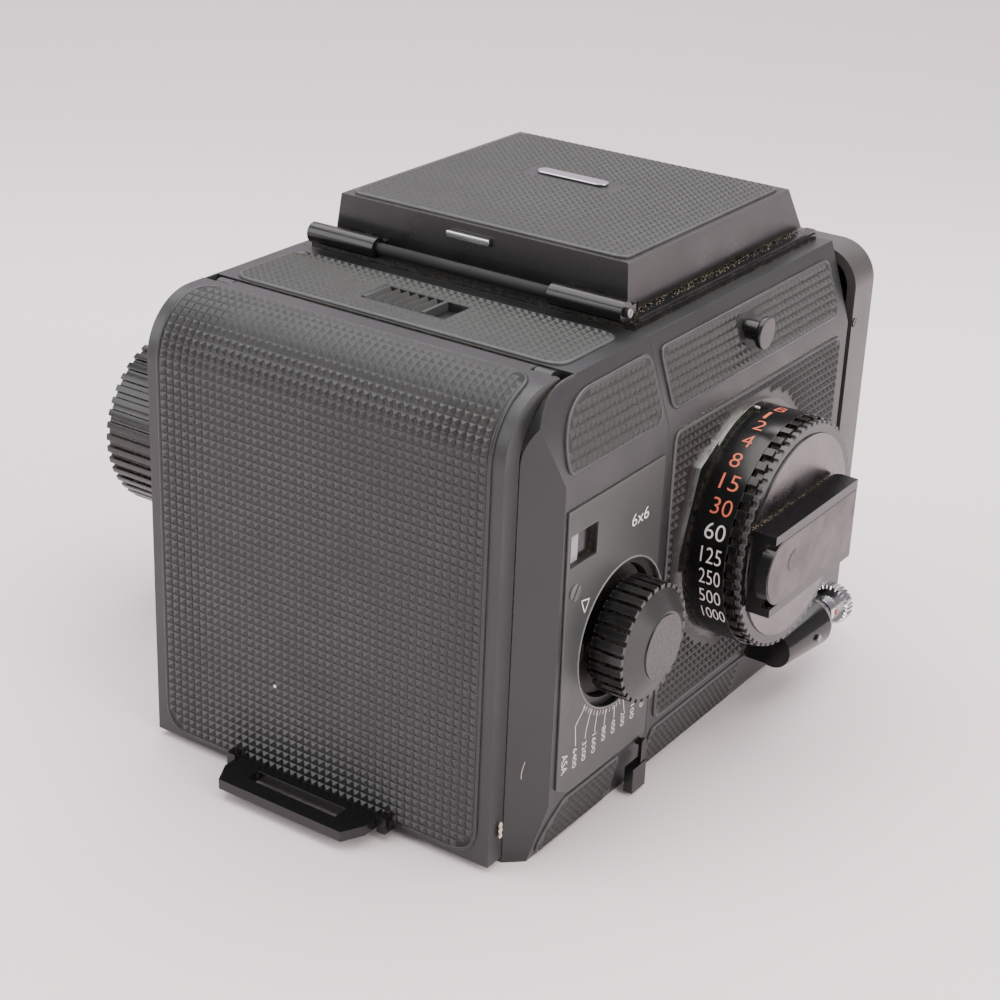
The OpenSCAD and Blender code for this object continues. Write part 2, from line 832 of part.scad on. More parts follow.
module lens_board() {
    color(black) difference() {
        union() {
            prism_y(tilt_y - 1.4, tilt_y + 1.4) translate([0, axis_z])
                square(2 * board_half, center = true);
            bar_x(-41.3, 41.3, tilt_y, axis_z, 1.5);
        }
        bar_y(-60, -45, 0, axis_z, 31);
    }
}

module bayonet_ring() {
    color(steel) difference() {
        union() {
            bar_y(-58.2, tilt_y - 1.4, 0, axis_z, 34.5);
            bar_y(-55, tilt_y + 1.4, 0, axis_z, 31);
        }
        bar_y(-70, -40, 0, axis_z, throat_r);
        for (a = [0:120:240]) translate([0, -40, axis_z]) rotate([90, a, 0]) translate([throat_r - 1, -3, 0])
            cube([2.5, 6, 30]);
    }
}

module bellows() {
    color("#202124") difference() {
        prism_y(-51.4, body_front_y + 1.8) rounded(-35.5, axis_z - 35, 35.5, axis_z + 35, 5);
        prism_y(-52, -40) rounded(-32.6, axis_z - 32.6, 32.6, axis_z + 32.6, 3);
    }
}

module focusing_knob() {
    color(black) {
        prism_x(66, focus_x) translate([focus_y, focus_z]) notched_2d(focus_r, 1, 44, 0.55);
        bar_x(50.5, 66, focus_y, focus_z, 18.8);
        bar_x(gear_in, 50.5, focus_y, focus_z, 4);
        prism_x(gear_in, gear_out) translate([focus_y, focus_z]) gear_2d(focus_teeth[0], 0);
    }
}

module idler_gear() {
    color(brass) difference() {
        prism_x(gear_in, gear_out) translate([idler_y, focus_z]) gear_2d(focus_teeth[1], 0);
        bar_x(40, 50, idler_y, focus_z, 1.5 + running);
    }
}

module pinion_gear() {
    color(brass) difference() {
        prism_x(rail_in, gear_out) translate([pinion_y, focus_z])
            gear_2d(focus_teeth[2], 180 / focus_teeth[2]);
        bar_x(30, 50, pinion_y, focus_z, 1.5 + running);
    }
}

module reflex_mirror() {
    translate([0, mirror_y, mirror_z]) rotate([45, 0, 0]) {
        color(black) block([-30, -mirror_len, -1.6], [30, 0, -0.1]);
        color(steel) block([-29.5, -mirror_len + 0.5, -0.1], [29.5, -2, 1]);
    }
    color(steel) bar_x(-34.9, 34.9, mirror_y, mirror_z, 1);
}

body_shell();
tripod_socket();
mirror_box();
screen_frame();
focusing_screen();
shutter_gate();
shutter_curtain();
shutter_rollers();
hood_base();
body_leather_right();
body_leather_left();
strap_lugs();
dial_base_plate();
release_housing();
standard_guides();
focus_studs();
lid_shell();
lid_leather();
lid_badge();
magnifier_frame();
magnifier_lens();
latch_tab();
hood_rear_wall();
hood_left_wall();
hood_right_wall();
magazine_shell();
magazine_side_plate();
magazine_leather();
counter_window();
film_gate();
pressure_plate();
film_rollers();
magazine_lever();
lock_slider();
film_speed_ring();
winding_knob();
winding_gear();
take_up_spool();
take_up_gear();
supply_spool();
dark_slide();
cover_shell();
cover_leather();
cover_hinge_pin();
bail_brackets();
cover_bail();
speed_ring();
crank_disc();
crank_handle();
release_button();
release_collar();
standard_frame();
focusing_racks();
lens_board();
bayonet_ring();
bellows();
focusing_knob();
idler_gear();
pinion_gear();
reflex_mirror();
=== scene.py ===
import json
import math
import random

import bmesh
import bpy
from mathutils import Matrix, Vector


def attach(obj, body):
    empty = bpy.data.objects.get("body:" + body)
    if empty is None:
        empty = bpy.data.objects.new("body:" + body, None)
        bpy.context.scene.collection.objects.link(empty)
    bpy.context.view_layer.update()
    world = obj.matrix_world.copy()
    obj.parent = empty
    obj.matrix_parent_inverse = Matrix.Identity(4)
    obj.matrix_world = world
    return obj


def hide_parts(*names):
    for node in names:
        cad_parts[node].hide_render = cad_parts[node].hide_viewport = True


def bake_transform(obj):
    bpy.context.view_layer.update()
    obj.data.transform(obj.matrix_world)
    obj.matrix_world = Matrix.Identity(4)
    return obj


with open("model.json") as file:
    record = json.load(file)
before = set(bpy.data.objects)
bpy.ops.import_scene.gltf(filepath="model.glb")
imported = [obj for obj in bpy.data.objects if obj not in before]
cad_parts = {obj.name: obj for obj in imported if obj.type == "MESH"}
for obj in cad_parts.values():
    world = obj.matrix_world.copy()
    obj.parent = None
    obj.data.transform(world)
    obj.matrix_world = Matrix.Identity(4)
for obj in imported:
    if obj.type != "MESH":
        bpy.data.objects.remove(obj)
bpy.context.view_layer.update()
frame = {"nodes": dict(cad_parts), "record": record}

# ---- Camera ----
# Long-lens view from behind and above, on the dial side, so the back cover,
# the dials and the folded hood all show.
eye = bpy.data.objects.new("eye", bpy.data.cameras.new("eye"))
bpy.context.scene.collection.objects.link(eye)
eye.data.lens = 75.6
eye.data.sensor_width = 36
eye.data.clip_start = 0.02
eye.data.clip_end = 10
eye_right = Vector((-0.8237, -0.5657, 0.0389)).normalized()
eye_back = Vector((-0.5008, 0.7580, 0.4179)).normalized()
eye_up = eye_back.cross(eye_right).normalized()
eye_right = eye_up.cross(eye_back)
eye.matrix_world = Matrix((
    (eye_right.x, eye_up.x, eye_back.x, -0.2415),
    (eye_right.y, eye_up.y, eye_back.y, 0.3865),
    (eye_right.z, eye_up.z, eye_back.z, 0.2486),
    (0, 0, 0, 1),
))
bpy.context.scene.camera = eye

# ---- Studio ----
# A sheet of pale paper that sweeps up behind the camera, lit by soft boxes
# overhead and at both sides.


def linear(tone):
    """The linear colour of a hex tone such as #8a8b8c."""
    parts = [int(tone[k:k + 2], 16) / 255 for k in (1, 3, 5)]
    return tuple(c / 12.92 if c <= 0.04045 else ((c + 0.055) / 1.055) ** 2.4 for c in parts) + (1.0,)


def add(tree, kind, settings=None, links=None):
    """A node with its settings (its own or its sockets') and the sockets that feed it."""
    made = tree.nodes.new(kind)
    for name, value in (settings or {}).items():
        if isinstance(name, str) and hasattr(made, name):
            setattr(made, name, value)
        else:
            made.inputs[name].default_value = value
    for name, source in (links or {}).items():
        tree.links.new(source, made.inputs[name])
    return made


def new_material(name):
    """An empty material's tree and its output."""
    made = bpy.data.materials.new(name)
    made.use_nodes = True
    made.node_tree.nodes.clear()
    return made, made.node_tree, add(made.node_tree, "ShaderNodeOutputMaterial")


def settled(name, mesh):
    """The finished mesh as data of one name."""
    data = bpy.data.meshes.new(name)
    mesh.to_mesh(data)
    mesh.free()
    return data


def paper():
    material, tree, out = new_material("paper")
    place = add(tree, "ShaderNodeTexCoord").outputs["Object"]
    fibre = add(tree, "ShaderNodeTexNoise", {"Scale": 900.0, "Detail": 3.0}, {"Vector": place})
    bump = add(tree, "ShaderNodeBump", {"Strength": 0.15, "Distance": 0.0002},
               {"Height": fibre.outputs["Fac"]})
    # Painted shade: the paper's colour darkens farther back and higher up the wall, standing in for the light
    # falling off there.
    reach = add(tree, "ShaderNodeVectorMath", {"operation": "DOT_PRODUCT", 1: (0.5512, -0.8344, 0.25)},
                {0: place})
    distance = add(tree, "ShaderNodeMapRange", {"From Min": 0.22, "From Max": 0.8},
                   {"Value": reach.outputs["Value"]})
    shaded_tint = add(tree, "ShaderNodeMix", {"data_type": "RGBA", 6: linear("#fbeef2"), 7: linear("#b0a9b4")},
               {0: distance.outputs[0]})
    shader = add(tree, "ShaderNodeBsdfPrincipled", {"Roughness": 0.9},
                 {"Base Color": shaded_tint.outputs[2], "Normal": bump.outputs["Normal"]})
    tree.links.new(shader.outputs[0], out.inputs[0])
    return material


def sweep():
    """The paper: a floor that turns up into a wall away from the eye."""
    away = Vector((0.5512, -0.8344, 0))
    across = Vector((0.8344, 0.5512, 0))
    profile = [(-1.2, 0), (0.45, 0)]
    profile += [(0.45 + 0.35 * math.sin(a), 0.35 - 0.35 * math.cos(a))
                for a in [k * math.pi / 32 for k in range(1, 17)]]
    profile += [(0.80, 1.6)]
    mesh = bmesh.new()
    rows = [[mesh.verts.new(away * d + across * w + Vector((0, 0, h))) for w in (-2.2, 2.2)] for d,
            h in profile]
    for low, high in zip(rows, rows[1:]):
        mesh.faces.new((low[0], low[1], high[1], high[0])).smooth = True
    data = settled("sweep", mesh)
    data.materials.append(paper())
    made = bpy.data.objects.new("sweep", data)
    bpy.context.scene.collection.objects.link(made)


def soft_box(name, place, aim, width, height, power, tone):
    """A rectangular studio light at one point, aimed at another."""
    made = bpy.data.objects.new(name, bpy.data.lights.new(name, "AREA"))
    made.data.shape, made.data.size, made.data.size_y = "RECTANGLE", width, height
    made.data.energy, made.data.color = power, linear(tone)[:3]
    made.location = place
    made.rotation_euler = (Vector(aim) - Vector(place)).to_track_quat("-Z", "Y").to_euler()
    bpy.context.scene.collection.objects.link(made)


sweep()
soft_box("overhead", (0.05, -0.15, 0.95), (0, 0.02, 0.05), 1.5, 1.3, 24, "#fffdfa")
soft_box("left_box", (0.85, 0.75, 0.55), (0, 0.02, 0.06), 0.9, 0.8, 8.5, "#fdfcff")
soft_box("right_box", (-1.0, 0.1, 0.45), (0, 0.0, 0.06), 0.8, 0.8, 9, "#fffaf6")
studio = bpy.data.worlds.new("studio")
bpy.context.scene.world = studio
studio.use_nodes = True
studio.node_tree.nodes["Background"].inputs["Color"].default_value = linear("#e9e6e4")
studio.node_tree.nodes["Background"].inputs["Strength"].default_value = 0.6

# ---- Body casting ----
# The main frame of the camera, die-cast in one piece and enamelled satin black.
# The enamel is faintly pebbled, dust lies in its crevices and edges are rubbed.


def enamel(name, tone, roughness, pebble, dust=0.6, worn="#77787a"):
    """Black enamel with fine pebbling, dust in the crevices and worn edges, which a near-white worn colour
    also turns into painted highlights.
    """
    material, tree, out = new_material(name)
    place = add(tree, "ShaderNodeTexCoord").outputs["Object"]
    grain = add(tree, "ShaderNodeTexNoise", {"Scale": 2600.0, "Detail": 2.0, "Roughness": 0.55},
                {"Vector": place})
    patch = add(tree, "ShaderNodeTexNoise", {"Scale": 70.0, "Detail": 4.0, "Roughness": 0.6},
                {"Vector": place})
    lint = add(tree, "ShaderNodeTexNoise", {"Scale": 700.0, "Detail": 5.0, "Roughness": 0.75},
               {"Vector": place})
    hollow = add(tree, "ShaderNodeAmbientOcclusion", {"Distance": 0.0022, "samples": 6})
    depth = add(tree, "ShaderNodeMapRange", {"From Min": 0.72, "From Max": 0.25, "To Max": dust},
                {"Value": hollow.outputs["AO"]})
    lay = add(tree, "ShaderNodeMapRange", {"From Min": 0.42, "From Max": 0.62},
              {"Value": lint.outputs["Fac"]})
    dusty = add(tree, "ShaderNodeMath", {"operation": "MULTIPLY"})
    tree.links.new(depth.outputs[0], dusty.inputs[0])
    tree.links.new(lay.outputs[0], dusty.inputs[1])
    # Convex edges take the worn colour: wear, and painted highlights where that colour is near white.
    ridge = add(tree, "ShaderNodeAmbientOcclusion", {"Distance": 0.0006, "samples": 6, "inside": True})
    edge = add(tree, "ShaderNodeMapRange", {"From Min": 0.55, "From Max": 0.15, "To Max": 0.55},
               {"Value": ridge.outputs["AO"]})
    edge_wear_and_highlight = add(tree, "ShaderNodeMath", {"operation": "MULTIPLY"})
    tree.links.new(edge.outputs[0], edge_wear_and_highlight.inputs[0])
    tree.links.new(patch.outputs["Fac"], edge_wear_and_highlight.inputs[1])
    bare = add(tree, "ShaderNodeMix", {"data_type": "RGBA", 6: linear(tone), 7: linear(worn)},
               {0: edge_wear_and_highlight.outputs[0]})
    soiled = add(tree, "ShaderNodeMix", {"data_type": "RGBA", 7: linear("#6f6556")},
                 {0: dusty.outputs[0], 6: bare.outputs[2]})
    handled = add(tree, "ShaderNodeMapRange", {"From Min": 0.3, "From Max": 0.7, "To Min": roughness - 0.06,
                                               "To Max": roughness + 0.07}, {"Value": patch.outputs["Fac"]})
    matt = add(tree, "ShaderNodeMath", {"operation": "MAXIMUM"})
    tree.links.new(handled.outputs[0], matt.inputs[0])
    tree.links.new(dusty.outputs[0], matt.inputs[1])
    bump = add(tree, "ShaderNodeBump", {"Strength": pebble, "Distance": 0.00006},
               {"Height": grain.outputs["Fac"]})
    shader = add(tree, "ShaderNodeBsdfPrincipled", {"IOR": 1.5},
                 {"Base Color": soiled.outputs[2], "Roughness": matt.outputs[0],
                  "Normal": bump.outputs["Normal"]})
    tree.links.new(shader.outputs[0], out.inputs[0])
    return material


def plated(name, tone, roughness, scratch=0.25):
    """Plated or bare metal with fine scratches."""
    material, tree, out = new_material(name)
    place = add(tree, "ShaderNodeTexCoord").outputs["Object"]
    wipe = add(tree, "ShaderNodeTexNoise", {"Scale": 1800.0, "Detail": 4.0}, {"Vector": place})
    cloud = add(tree, "ShaderNodeTexNoise", {"Scale": 160.0, "Detail": 3.0}, {"Vector": place})
    rough = add(tree, "ShaderNodeMapRange", {"From Min": 0.3, "From Max": 0.7, "To Min": roughness * 0.75,
                                             "To Max": roughness * 1.35}, {"Value": cloud.outputs["Fac"]})
    bump = add(tree, "ShaderNodeBump", {"Strength": scratch, "Distance": 0.00003},
               {"Height": wipe.outputs["Fac"]})
    shader = add(tree, "ShaderNodeBsdfPrincipled", {"Base Color": linear(tone), "Metallic": 1.0},
                 {"Roughness": rough.outputs[0], "Normal": bump.outputs["Normal"]})
    tree.links.new(shader.outputs[0], out.inputs[0])
    return material


satin_black = enamel("satin_black", "#242627", 0.36, 0.5)
gloss_black = enamel("gloss_black", "#101011", 0.2, 0.12, worn="#48484a")
matt_black = enamel("matt_black", "#131314", 0.75, 0.4)
chrome = plated("chrome", "#cfd0d3", 0.16)
ground_steel = plated("ground_steel", "#9fa1a5", 0.33, 0.5)


def show(made, body, slot, material=None):
    """Puts a finished piece on its body with its finish."""
    if made.name not in bpy.context.scene.collection.objects:
        bpy.context.scene.collection.objects.link(made)
    if material:
        made.data.materials.clear()
        made.data.materials.append(material)
    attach(made, body)
    return made


def dress(node, material):
    """Gives a CAD piece its finish as it stands."""
    made = frame["nodes"][node]
    made.data.materials.clear()
    made.data.materials.append(material)


def body_of(node):
    return next(b for b, members in frame["record"]["behaviour"]["bodies"].items() if node in members)


def slot_of(node):
    return next(s["material_slot"] for s in frame["record"]["subparts"] if s["node"] == node)


def shade(mesh, limit=34):
    """Smooth faces, kept crisp where two faces meet at more than the limit."""
    for face in mesh.faces:
        face.smooth = True
    for edge in mesh.edges:
        edge.smooth = len(edge.link_faces) == 2 and edge.calc_face_angle(0) < math.radians(limit)


def worn(node, piece, radius, material, steps=2):
    """The CAD piece with its real edge radius."""
    mesh = bmesh.new()
    mesh.from_mesh(frame["nodes"][node].data)
    bmesh.ops.remove_doubles(mesh, verts=mesh.verts, dist=2e-6)
    bmesh.ops.dissolve_limit(mesh, angle_limit=math.radians(0.6), verts=mesh.verts, edges=mesh.edges)
    bmesh.ops.recalc_face_normals(mesh, faces=mesh.faces)
    sharp = [e for e in mesh.edges if len(e.link_faces) == 2 and e.calc_face_angle(0) > math.radians(24)]
    bmesh.ops.bevel(mesh, geom=sharp, offset=radius, segments=steps, profile=0.5, affect="EDGES",
                    clamp_overlap=True)
    shade(mesh)
    data = settled(piece, mesh)
    made = bpy.data.objects.new(piece, data)
    show(made, body_of(node), slot_of(node), material)
    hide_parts(node)
    even = made.modifiers.new("even", "WEIGHTED_NORMAL")
    even.keep_sharp = True
    even.weight = 90
    return made


def coat(made, material, chosen):
    """Paints the faces that are chosen by their corners, in millimetres, and their normal."""
    made.data.materials.append(material)
    last = len(made.data.materials) - 1
    for face in made.data.polygons:
        corners = [made.data.vertices[k].co * 1000 for k in face.vertices]
        if chosen(corners, face.normal):
            face.material_index = last


worn("body_shell", "body_casting", 0.0007, satin_black, steps=3)
worn("strap_lugs", "strap_studs", 0.0004, gloss_black)
dress("tripod_socket", ground_steel)

# ---- Leather coverings ----
# Leatherette pressed into square pyramids 1.9 mm apart, glued on in panels
# with a raised rib of the casting round each one.


def hide(name, shade_grime_spot=None):
    """Black leatherette, dusty in patches, with one near-black spot (x, y, z, radius) if given, which is
    painted shade and partly grime.
    """
    material, tree, out = new_material(name)
    place = add(tree, "ShaderNodeTexCoord").outputs["Object"]
    pore = add(tree, "ShaderNodeTexNoise", {"Scale": 4200.0, "Detail": 3.0, "Roughness": 0.6},
               {"Vector": place})
    patch = add(tree, "ShaderNodeTexNoise", {"Scale": 45.0, "Detail": 5.0, "Roughness": 0.65},
                {"Vector": place})
    lint = add(tree, "ShaderNodeTexNoise", {"Scale": 850.0, "Detail": 4.0, "Roughness": 0.7},
               {"Vector": place})
    low = add(tree, "ShaderNodeAmbientOcclusion", {"Distance": 0.0009, "samples": 6})
    groove = add(tree, "ShaderNodeMapRange", {"From Min": 0.78, "From Max": 0.35, "To Max": 0.6},
                 {"Value": low.outputs["AO"]})
    lie = add(tree, "ShaderNodeMapRange", {"From Min": 0.45, "From Max": 0.66},
              {"Value": lint.outputs["Fac"]})
    old = add(tree, "ShaderNodeMapRange", {"From Min": 0.38, "From Max": 0.62, "To Min": 0.25},
              {"Value": patch.outputs["Fac"]})
    dust = add(tree, "ShaderNodeMath", {"operation": "MULTIPLY"}, {0: groove.outputs[0]})
    tree.links.new(lie.outputs[0], dust.inputs[1])
    dusty = add(tree, "ShaderNodeMath", {"operation": "MULTIPLY"}, {0: dust.outputs[0]})
    tree.links.new(old.outputs[0], dusty.inputs[1])
    colour = add(tree, "ShaderNodeMix", {"data_type": "RGBA", 6: linear("#292a2a"), 7: linear("#7b7264")},
                 {0: dusty.outputs[0]})
    # Painted shade, partly grime: the colour turns near black towards the spot's centre.
    if shade_grime_spot:
        spot = add(tree, "ShaderNodeVectorMath", {"operation": "DISTANCE", 1: shade_grime_spot[:3]}, {0: place})
        painted_shade_and_grime = add(tree, "ShaderNodeMapRange",
                   {"From Min": shade_grime_spot[3], "From Max": shade_grime_spot[3] * 0.5, "To Max": 0.85},
                   {"Value": spot.outputs["Value"]})
        colour = add(tree, "ShaderNodeMix", {"data_type": "RGBA", 7: linear("#0d0b09")},
                     {0: painted_shade_and_grime.outputs[0], 6: colour.outputs[2]})
    gloss = add(tree, "ShaderNodeMapRange",
                {"From Min": 0.3, "From Max": 0.7, "To Min": 0.33, "To Max": 0.46},
                {"Value": patch.outputs["Fac"]})
    bump = add(tree, "ShaderNodeBump", {"Strength": 0.45, "Distance": 0.00008},
               {"Height": pore.outputs["Fac"]})
    shader = add(tree, "ShaderNodeBsdfPrincipled", {"IOR": 1.5},
                 {"Base Color": colour.outputs[2], "Roughness": gloss.outputs[0],
                  "Normal": bump.outputs["Normal"]})
    tree.links.new(shader.outputs[0], out.inputs[0])
    return material


leatherette = hide("leatherette")


def sockets(tree, given, result):
    """Names a tree's inputs, each with its kind, and its one output of geometry."""
    for name, kind in given:
        tree.interface.new_socket(name, in_out="INPUT", socket_type="NodeSocket" + kind)
    tree.interface.new_socket(result, in_out="OUTPUT", socket_type="NodeSocketGeometry")


def grain_tree():
    """Geometry nodes that raise a blunt pyramid on every face of a flat net."""
    tree = bpy.data.node_groups.new("grain", "GeometryNodeTree")
    sockets(tree, [("Net", "Geometry"), ("Rise", "Float"), ("Tip", "Float"), ("Finish", "Material")], "Grain")
    given = add(tree, "NodeGroupInput")
    lift = add(tree, "GeometryNodeExtrudeMesh", {"mode": "FACES", "Individual": True},
               {"Mesh": given.outputs["Net"], "Offset Scale": given.outputs["Rise"]})
    pinch = add(tree, "GeometryNodeScaleElements", {"domain": "FACE"},
                {"Geometry": lift.outputs["Mesh"], "Selection": lift.outputs["Top"],
                 "Scale": given.outputs["Tip"]})
    solid = add(tree, "GeometryNodeRealizeInstances", {}, {"Geometry": pinch.outputs["Geometry"]})
    coat = add(tree, "GeometryNodeSetMaterial", {},
               {"Geometry": solid.outputs["Geometry"], "Material": given.outputs["Finish"]})
    add(tree, "NodeGroupOutput", {}, {"Grain": coat.outputs["Geometry"]})
    return tree


grain = grain_tree()


def bead_tree():
    """Geometry nodes that turn a closed line into a raised bead of one radius and finish."""
    tree = bpy.data.node_groups.new("bead", "GeometryNodeTree")
    sockets(tree, [("Line", "Geometry"), ("Radius", "Float"), ("Finish", "Material")], "Bead")
    given = add(tree, "NodeGroupInput")
    path = add(tree, "GeometryNodeMeshToCurve", {}, {"Mesh": given.outputs["Line"]})
    ring = add(tree, "GeometryNodeCurvePrimitiveCircle", {"Resolution": 8},
               {"Radius": given.outputs["Radius"]})
    tube = add(tree, "GeometryNodeCurveToMesh", {},
               {"Curve": path.outputs["Curve"], "Profile Curve": ring.outputs["Curve"]})
    solid = add(tree, "GeometryNodeRealizeInstances", {}, {"Geometry": tube.outputs["Mesh"]})
    coat = add(tree, "GeometryNodeSetMaterial", {},
               {"Geometry": solid.outputs["Geometry"], "Material": given.outputs["Finish"]})
    smooth = add(tree, "GeometryNodeSetShadeSmooth", {}, {0: coat.outputs["Geometry"]})
    add(tree, "NodeGroupOutput", {}, {"Bead": smooth.outputs[0]})
    return tree


bead_line = bead_tree()


def grown(name, source, tree, inputs):
    """Runs a geometry tree on a source mesh and returns the plain mesh it makes."""
    seed = bpy.data.objects.new(name + "_seed", source)
    bpy.context.scene.collection.objects.link(seed)
    grow = seed.modifiers.new("grow", "NODES")
    grow.node_group = tree
    for item in tree.interface.items_tree:
        if item.item_type == "SOCKET" and item.in_out == "INPUT" and item.name in inputs:
            grow[item.identifier] = inputs[item.name]
    seed.update_tag()
    bpy.context.view_layer.update()
    ready = seed.evaluated_get(bpy.context.evaluated_depsgraph_get())
    data = bpy.data.meshes.new_from_object(ready)
    data.name = name
    bpy.data.objects.remove(seed)
    return data


def line_mesh(name, lines, closed=True):
    """Lines of points in metres as a mesh of edges."""
    mesh = bmesh.new()
    for line in lines:
        dots = [mesh.verts.new(p) for p in line]
        for one, two in zip(dots, dots[1:] + dots[:1] * closed):
            mesh.edges.new((one, two))
    data = settled(name + "_line", mesh)
    return data


def bead(name, loops, radius, body, slot, material):
    """Raised beads along closed lines of points in metres."""
    data = grown(name, line_mesh(name, loops), bead_line, {"Radius": radius, "Finish": material})
    return show(bpy.data.objects.new(name, data), body, slot)


def soft_corners(points, radius, steps=6):
    """A closed outline in millimetres with each corner rounded."""
    made = []
    for k, corner in enumerate(points):
        here, back, on = Vector(corner), Vector(points[k - 1]), Vector(points[(k + 1) % len(points)])
        one, two = (back - here).normalized(), (on - here).normalized()
        reach = min(radius, 0.45 * (back - here).length, 0.45 * (on - here).length)
        start, end = here + one * reach, here + two * reach
        for s in range(steps + 1):
            t = s / steps
            made.append(tuple((1 - t) ** 2 * start + 2 * t * (1 - t) * here + t * t * end))
    return made


def within(u, v, outline):
    """Whether a point lies inside a closed outline."""
    inside = False
    for (u0, v0), (u1, v1) in zip(outline, outline[1:] + outline[:1]):
        if (v0 > v) != (v1 > v) and u < (u1 - u0) * (v - v0) / (v1 - v0) + u0:
            inside = not inside
    return inside


def leather_grain(name, point, outline, holes, body, base, leather=None):
    """Pyramids 1.9 mm apart over a panel, kept clear of its edge and its holes."""
    us, vs = [u for u, _ in outline], [v for _, v in outline]
    columns, rows = round((max(us) - min(us)) / 1.9), max(1, round((max(vs) - min(vs)) / 1.87))
    wide, tall = (max(us) - min(us)) / columns, (max(vs) - min(vs)) / rows
    mesh = bmesh.new()
    for i in range(columns):
        for j in range(rows):
            u, v = min(us) + (i + 0.5) * wide, min(vs) + (j + 0.5) * tall
            square = [(a, b) for a in (-0.62, 0, 0.62) for b in (-0.62, 0, 0.62)]
            inside = all(within(u + a * wide / 2, v + b * tall / 2, outline) for a, b in square)
            if inside and not any(within(u + a * wide, v + b * tall, h) for a, b in square for h in holes):
                corners = [mesh.verts.new(point(u + a * wide * 0.5, v + b * tall * 0.5, base))
                           for a, b in ((-1, -1), (1, -1), (1, 1), (-1, 1))]
                face = mesh.faces.new(corners)
                face.normal_update()
                if face.normal.dot(point(u, v, 1) - point(u, v, 0)) < 0:
                    face.normal_flip()
    net = settled(name + "_net", mesh)
    data = grown(name, net, grain, {"Rise": 0.00062, "Tip": 0.12, "Finish": leather or leatherette})
    show(bpy.data.objects.new(name, data), body, "leatherette")


def leather_sheet(name, point, outline, holes, body, thick, leather=None):
    """The flat ground of a panel between its pyramids, as a thin closed sheet."""
    mesh = bmesh.new()
    for loop in [outline] + holes:
        dots = [mesh.verts.new(point(u, v, thick)) for u, v in loop]
        for one, two in zip(dots, dots[1:] + dots[:1]):
            mesh.edges.new((one, two))
    bmesh.ops.triangle_fill(mesh, use_beauty=True, edges=mesh.edges[:])
    out = point(outline[0][0], outline[0][1], 1) - point(outline[0][0], outline[0][1], 0)
    for face in mesh.faces:
        face.normal_update()
        if face.normal.dot(out) < 0:
            face.normal_flip()
    data = settled(name, mesh)
    made = show(bpy.data.objects.new(name, data), body, "leatherette", leather or leatherette)
    depth = made.modifiers.new("depth", "SOLIDIFY")
    depth.thickness, depth.offset = thick / 1000, -1
    return made


def panel(name, point, outline, body, holes=(), clear=(), rib=0.45, leather=None):
    """A leather panel: its ground, its pyramids and the casting's rib round it."""
    ground = leather_sheet(name, point, outline, list(holes), body, 0.4, leather)
    leather_grain(name + "_grain", point, outline, list(holes) + list(clear), body, 0.34, leather)
    bead(name + "_rib", [[point(u, v, 0.12) for u, v in outline]], rib / 1000, body, "satin_black_paint",
         satin_black)
    return ground


def ring_outline(u, v, radius, count=40):
    return [(u + radius * math.cos(2 * math.pi * k / count), v + radius * math.sin(2 * math.pi * k / count))
            for k in range(count)]


def dial_side(y, z, lift=0.0):
    """A point on the camera's dial side, with its lean above the ridge and below the bevel."""
    if z > 84.5:
        return Vector((-51.7 + (z - 84.5) * 6.2 / 18.5 - lift * 0.948, y, z + lift * 0.318)) / 1000
    if z < 13:
        return Vector((-48.7 - 3 * z / 13 - lift * 0.974, y, z - lift * 0.225)) / 1000
    return Vector((-51.7 - lift, y, z)) / 1000


def focus_side(y, z, lift=0.0):
    """A point on the camera's focusing side."""
    if z > 84.5:
        return Vector((48 - (z - 84.5) * 2.5 / 18.5 + lift * 0.991, y, z + lift * 0.134)) / 1000
    if z < 13:
        return Vector((45.5 + 2.5 * z / 13 + lift * 0.982, y, z - lift * 0.189)) / 1000
    return Vector((48 + lift, y, z)) / 1000


def top_side(height):
    """Points on a level top face at one height."""
    return lambda x, y, lift=0.0: Vector((x, y, height + lift)) / 1000


# The dial side's middle hide gets a near-black patch beside the dial: painted shade from the dial, partly
# grime.
shaded_grimy_hide = hide("shaded_grimy_leatherette", shade_grime_spot=(-0.0517, 0.031, 0.066, 0.03))
dial_plate_edge = ring_outline(2, 51.3, 28.2)
dial_corner = [(16, 75), (27, 72), (32.4, 53.5), (32.4, 48), (22, 46), (12, 62)]
release_pad = [(-29.5, 0), (-5.5, 0), (-5.5, 24.5), (-29.5, 24.5)]
for name, side, node, blocks in (
        ("body_right", dial_side, "body_leather_right", [dial_plate_edge, dial_corner, release_pad]),
        ("body_left", focus_side, "body_leather_left", [ring_outline(25.7, 44.1, 9.5)])):
    for band, low, high, corner in (("upper", 87.4, 99.6, 2), ("middle", 14.8, 82.2, 2),
                                    ("hem", 1.4, 12.2, 1.5)):
        made = panel(f"{name}_{band}_hide", side,
                     soft_corners([(-40.6, low), (35, low), (35, high), (-40.6, high)],
                                  corner), "camera_body",
                     clear=blocks if band != "upper" else [ring_outline(1, 95, 2.6)],
                     leather=shaded_grimy_hide if (name, band) == ("body_right", "middle") else None)
        if band == "upper":
            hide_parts(node)

# ---- Mirror box and screen ----
# A blackened box behind the lens mount, with the swinging mirror in it and the
# ground-glass screen in a frame on top.


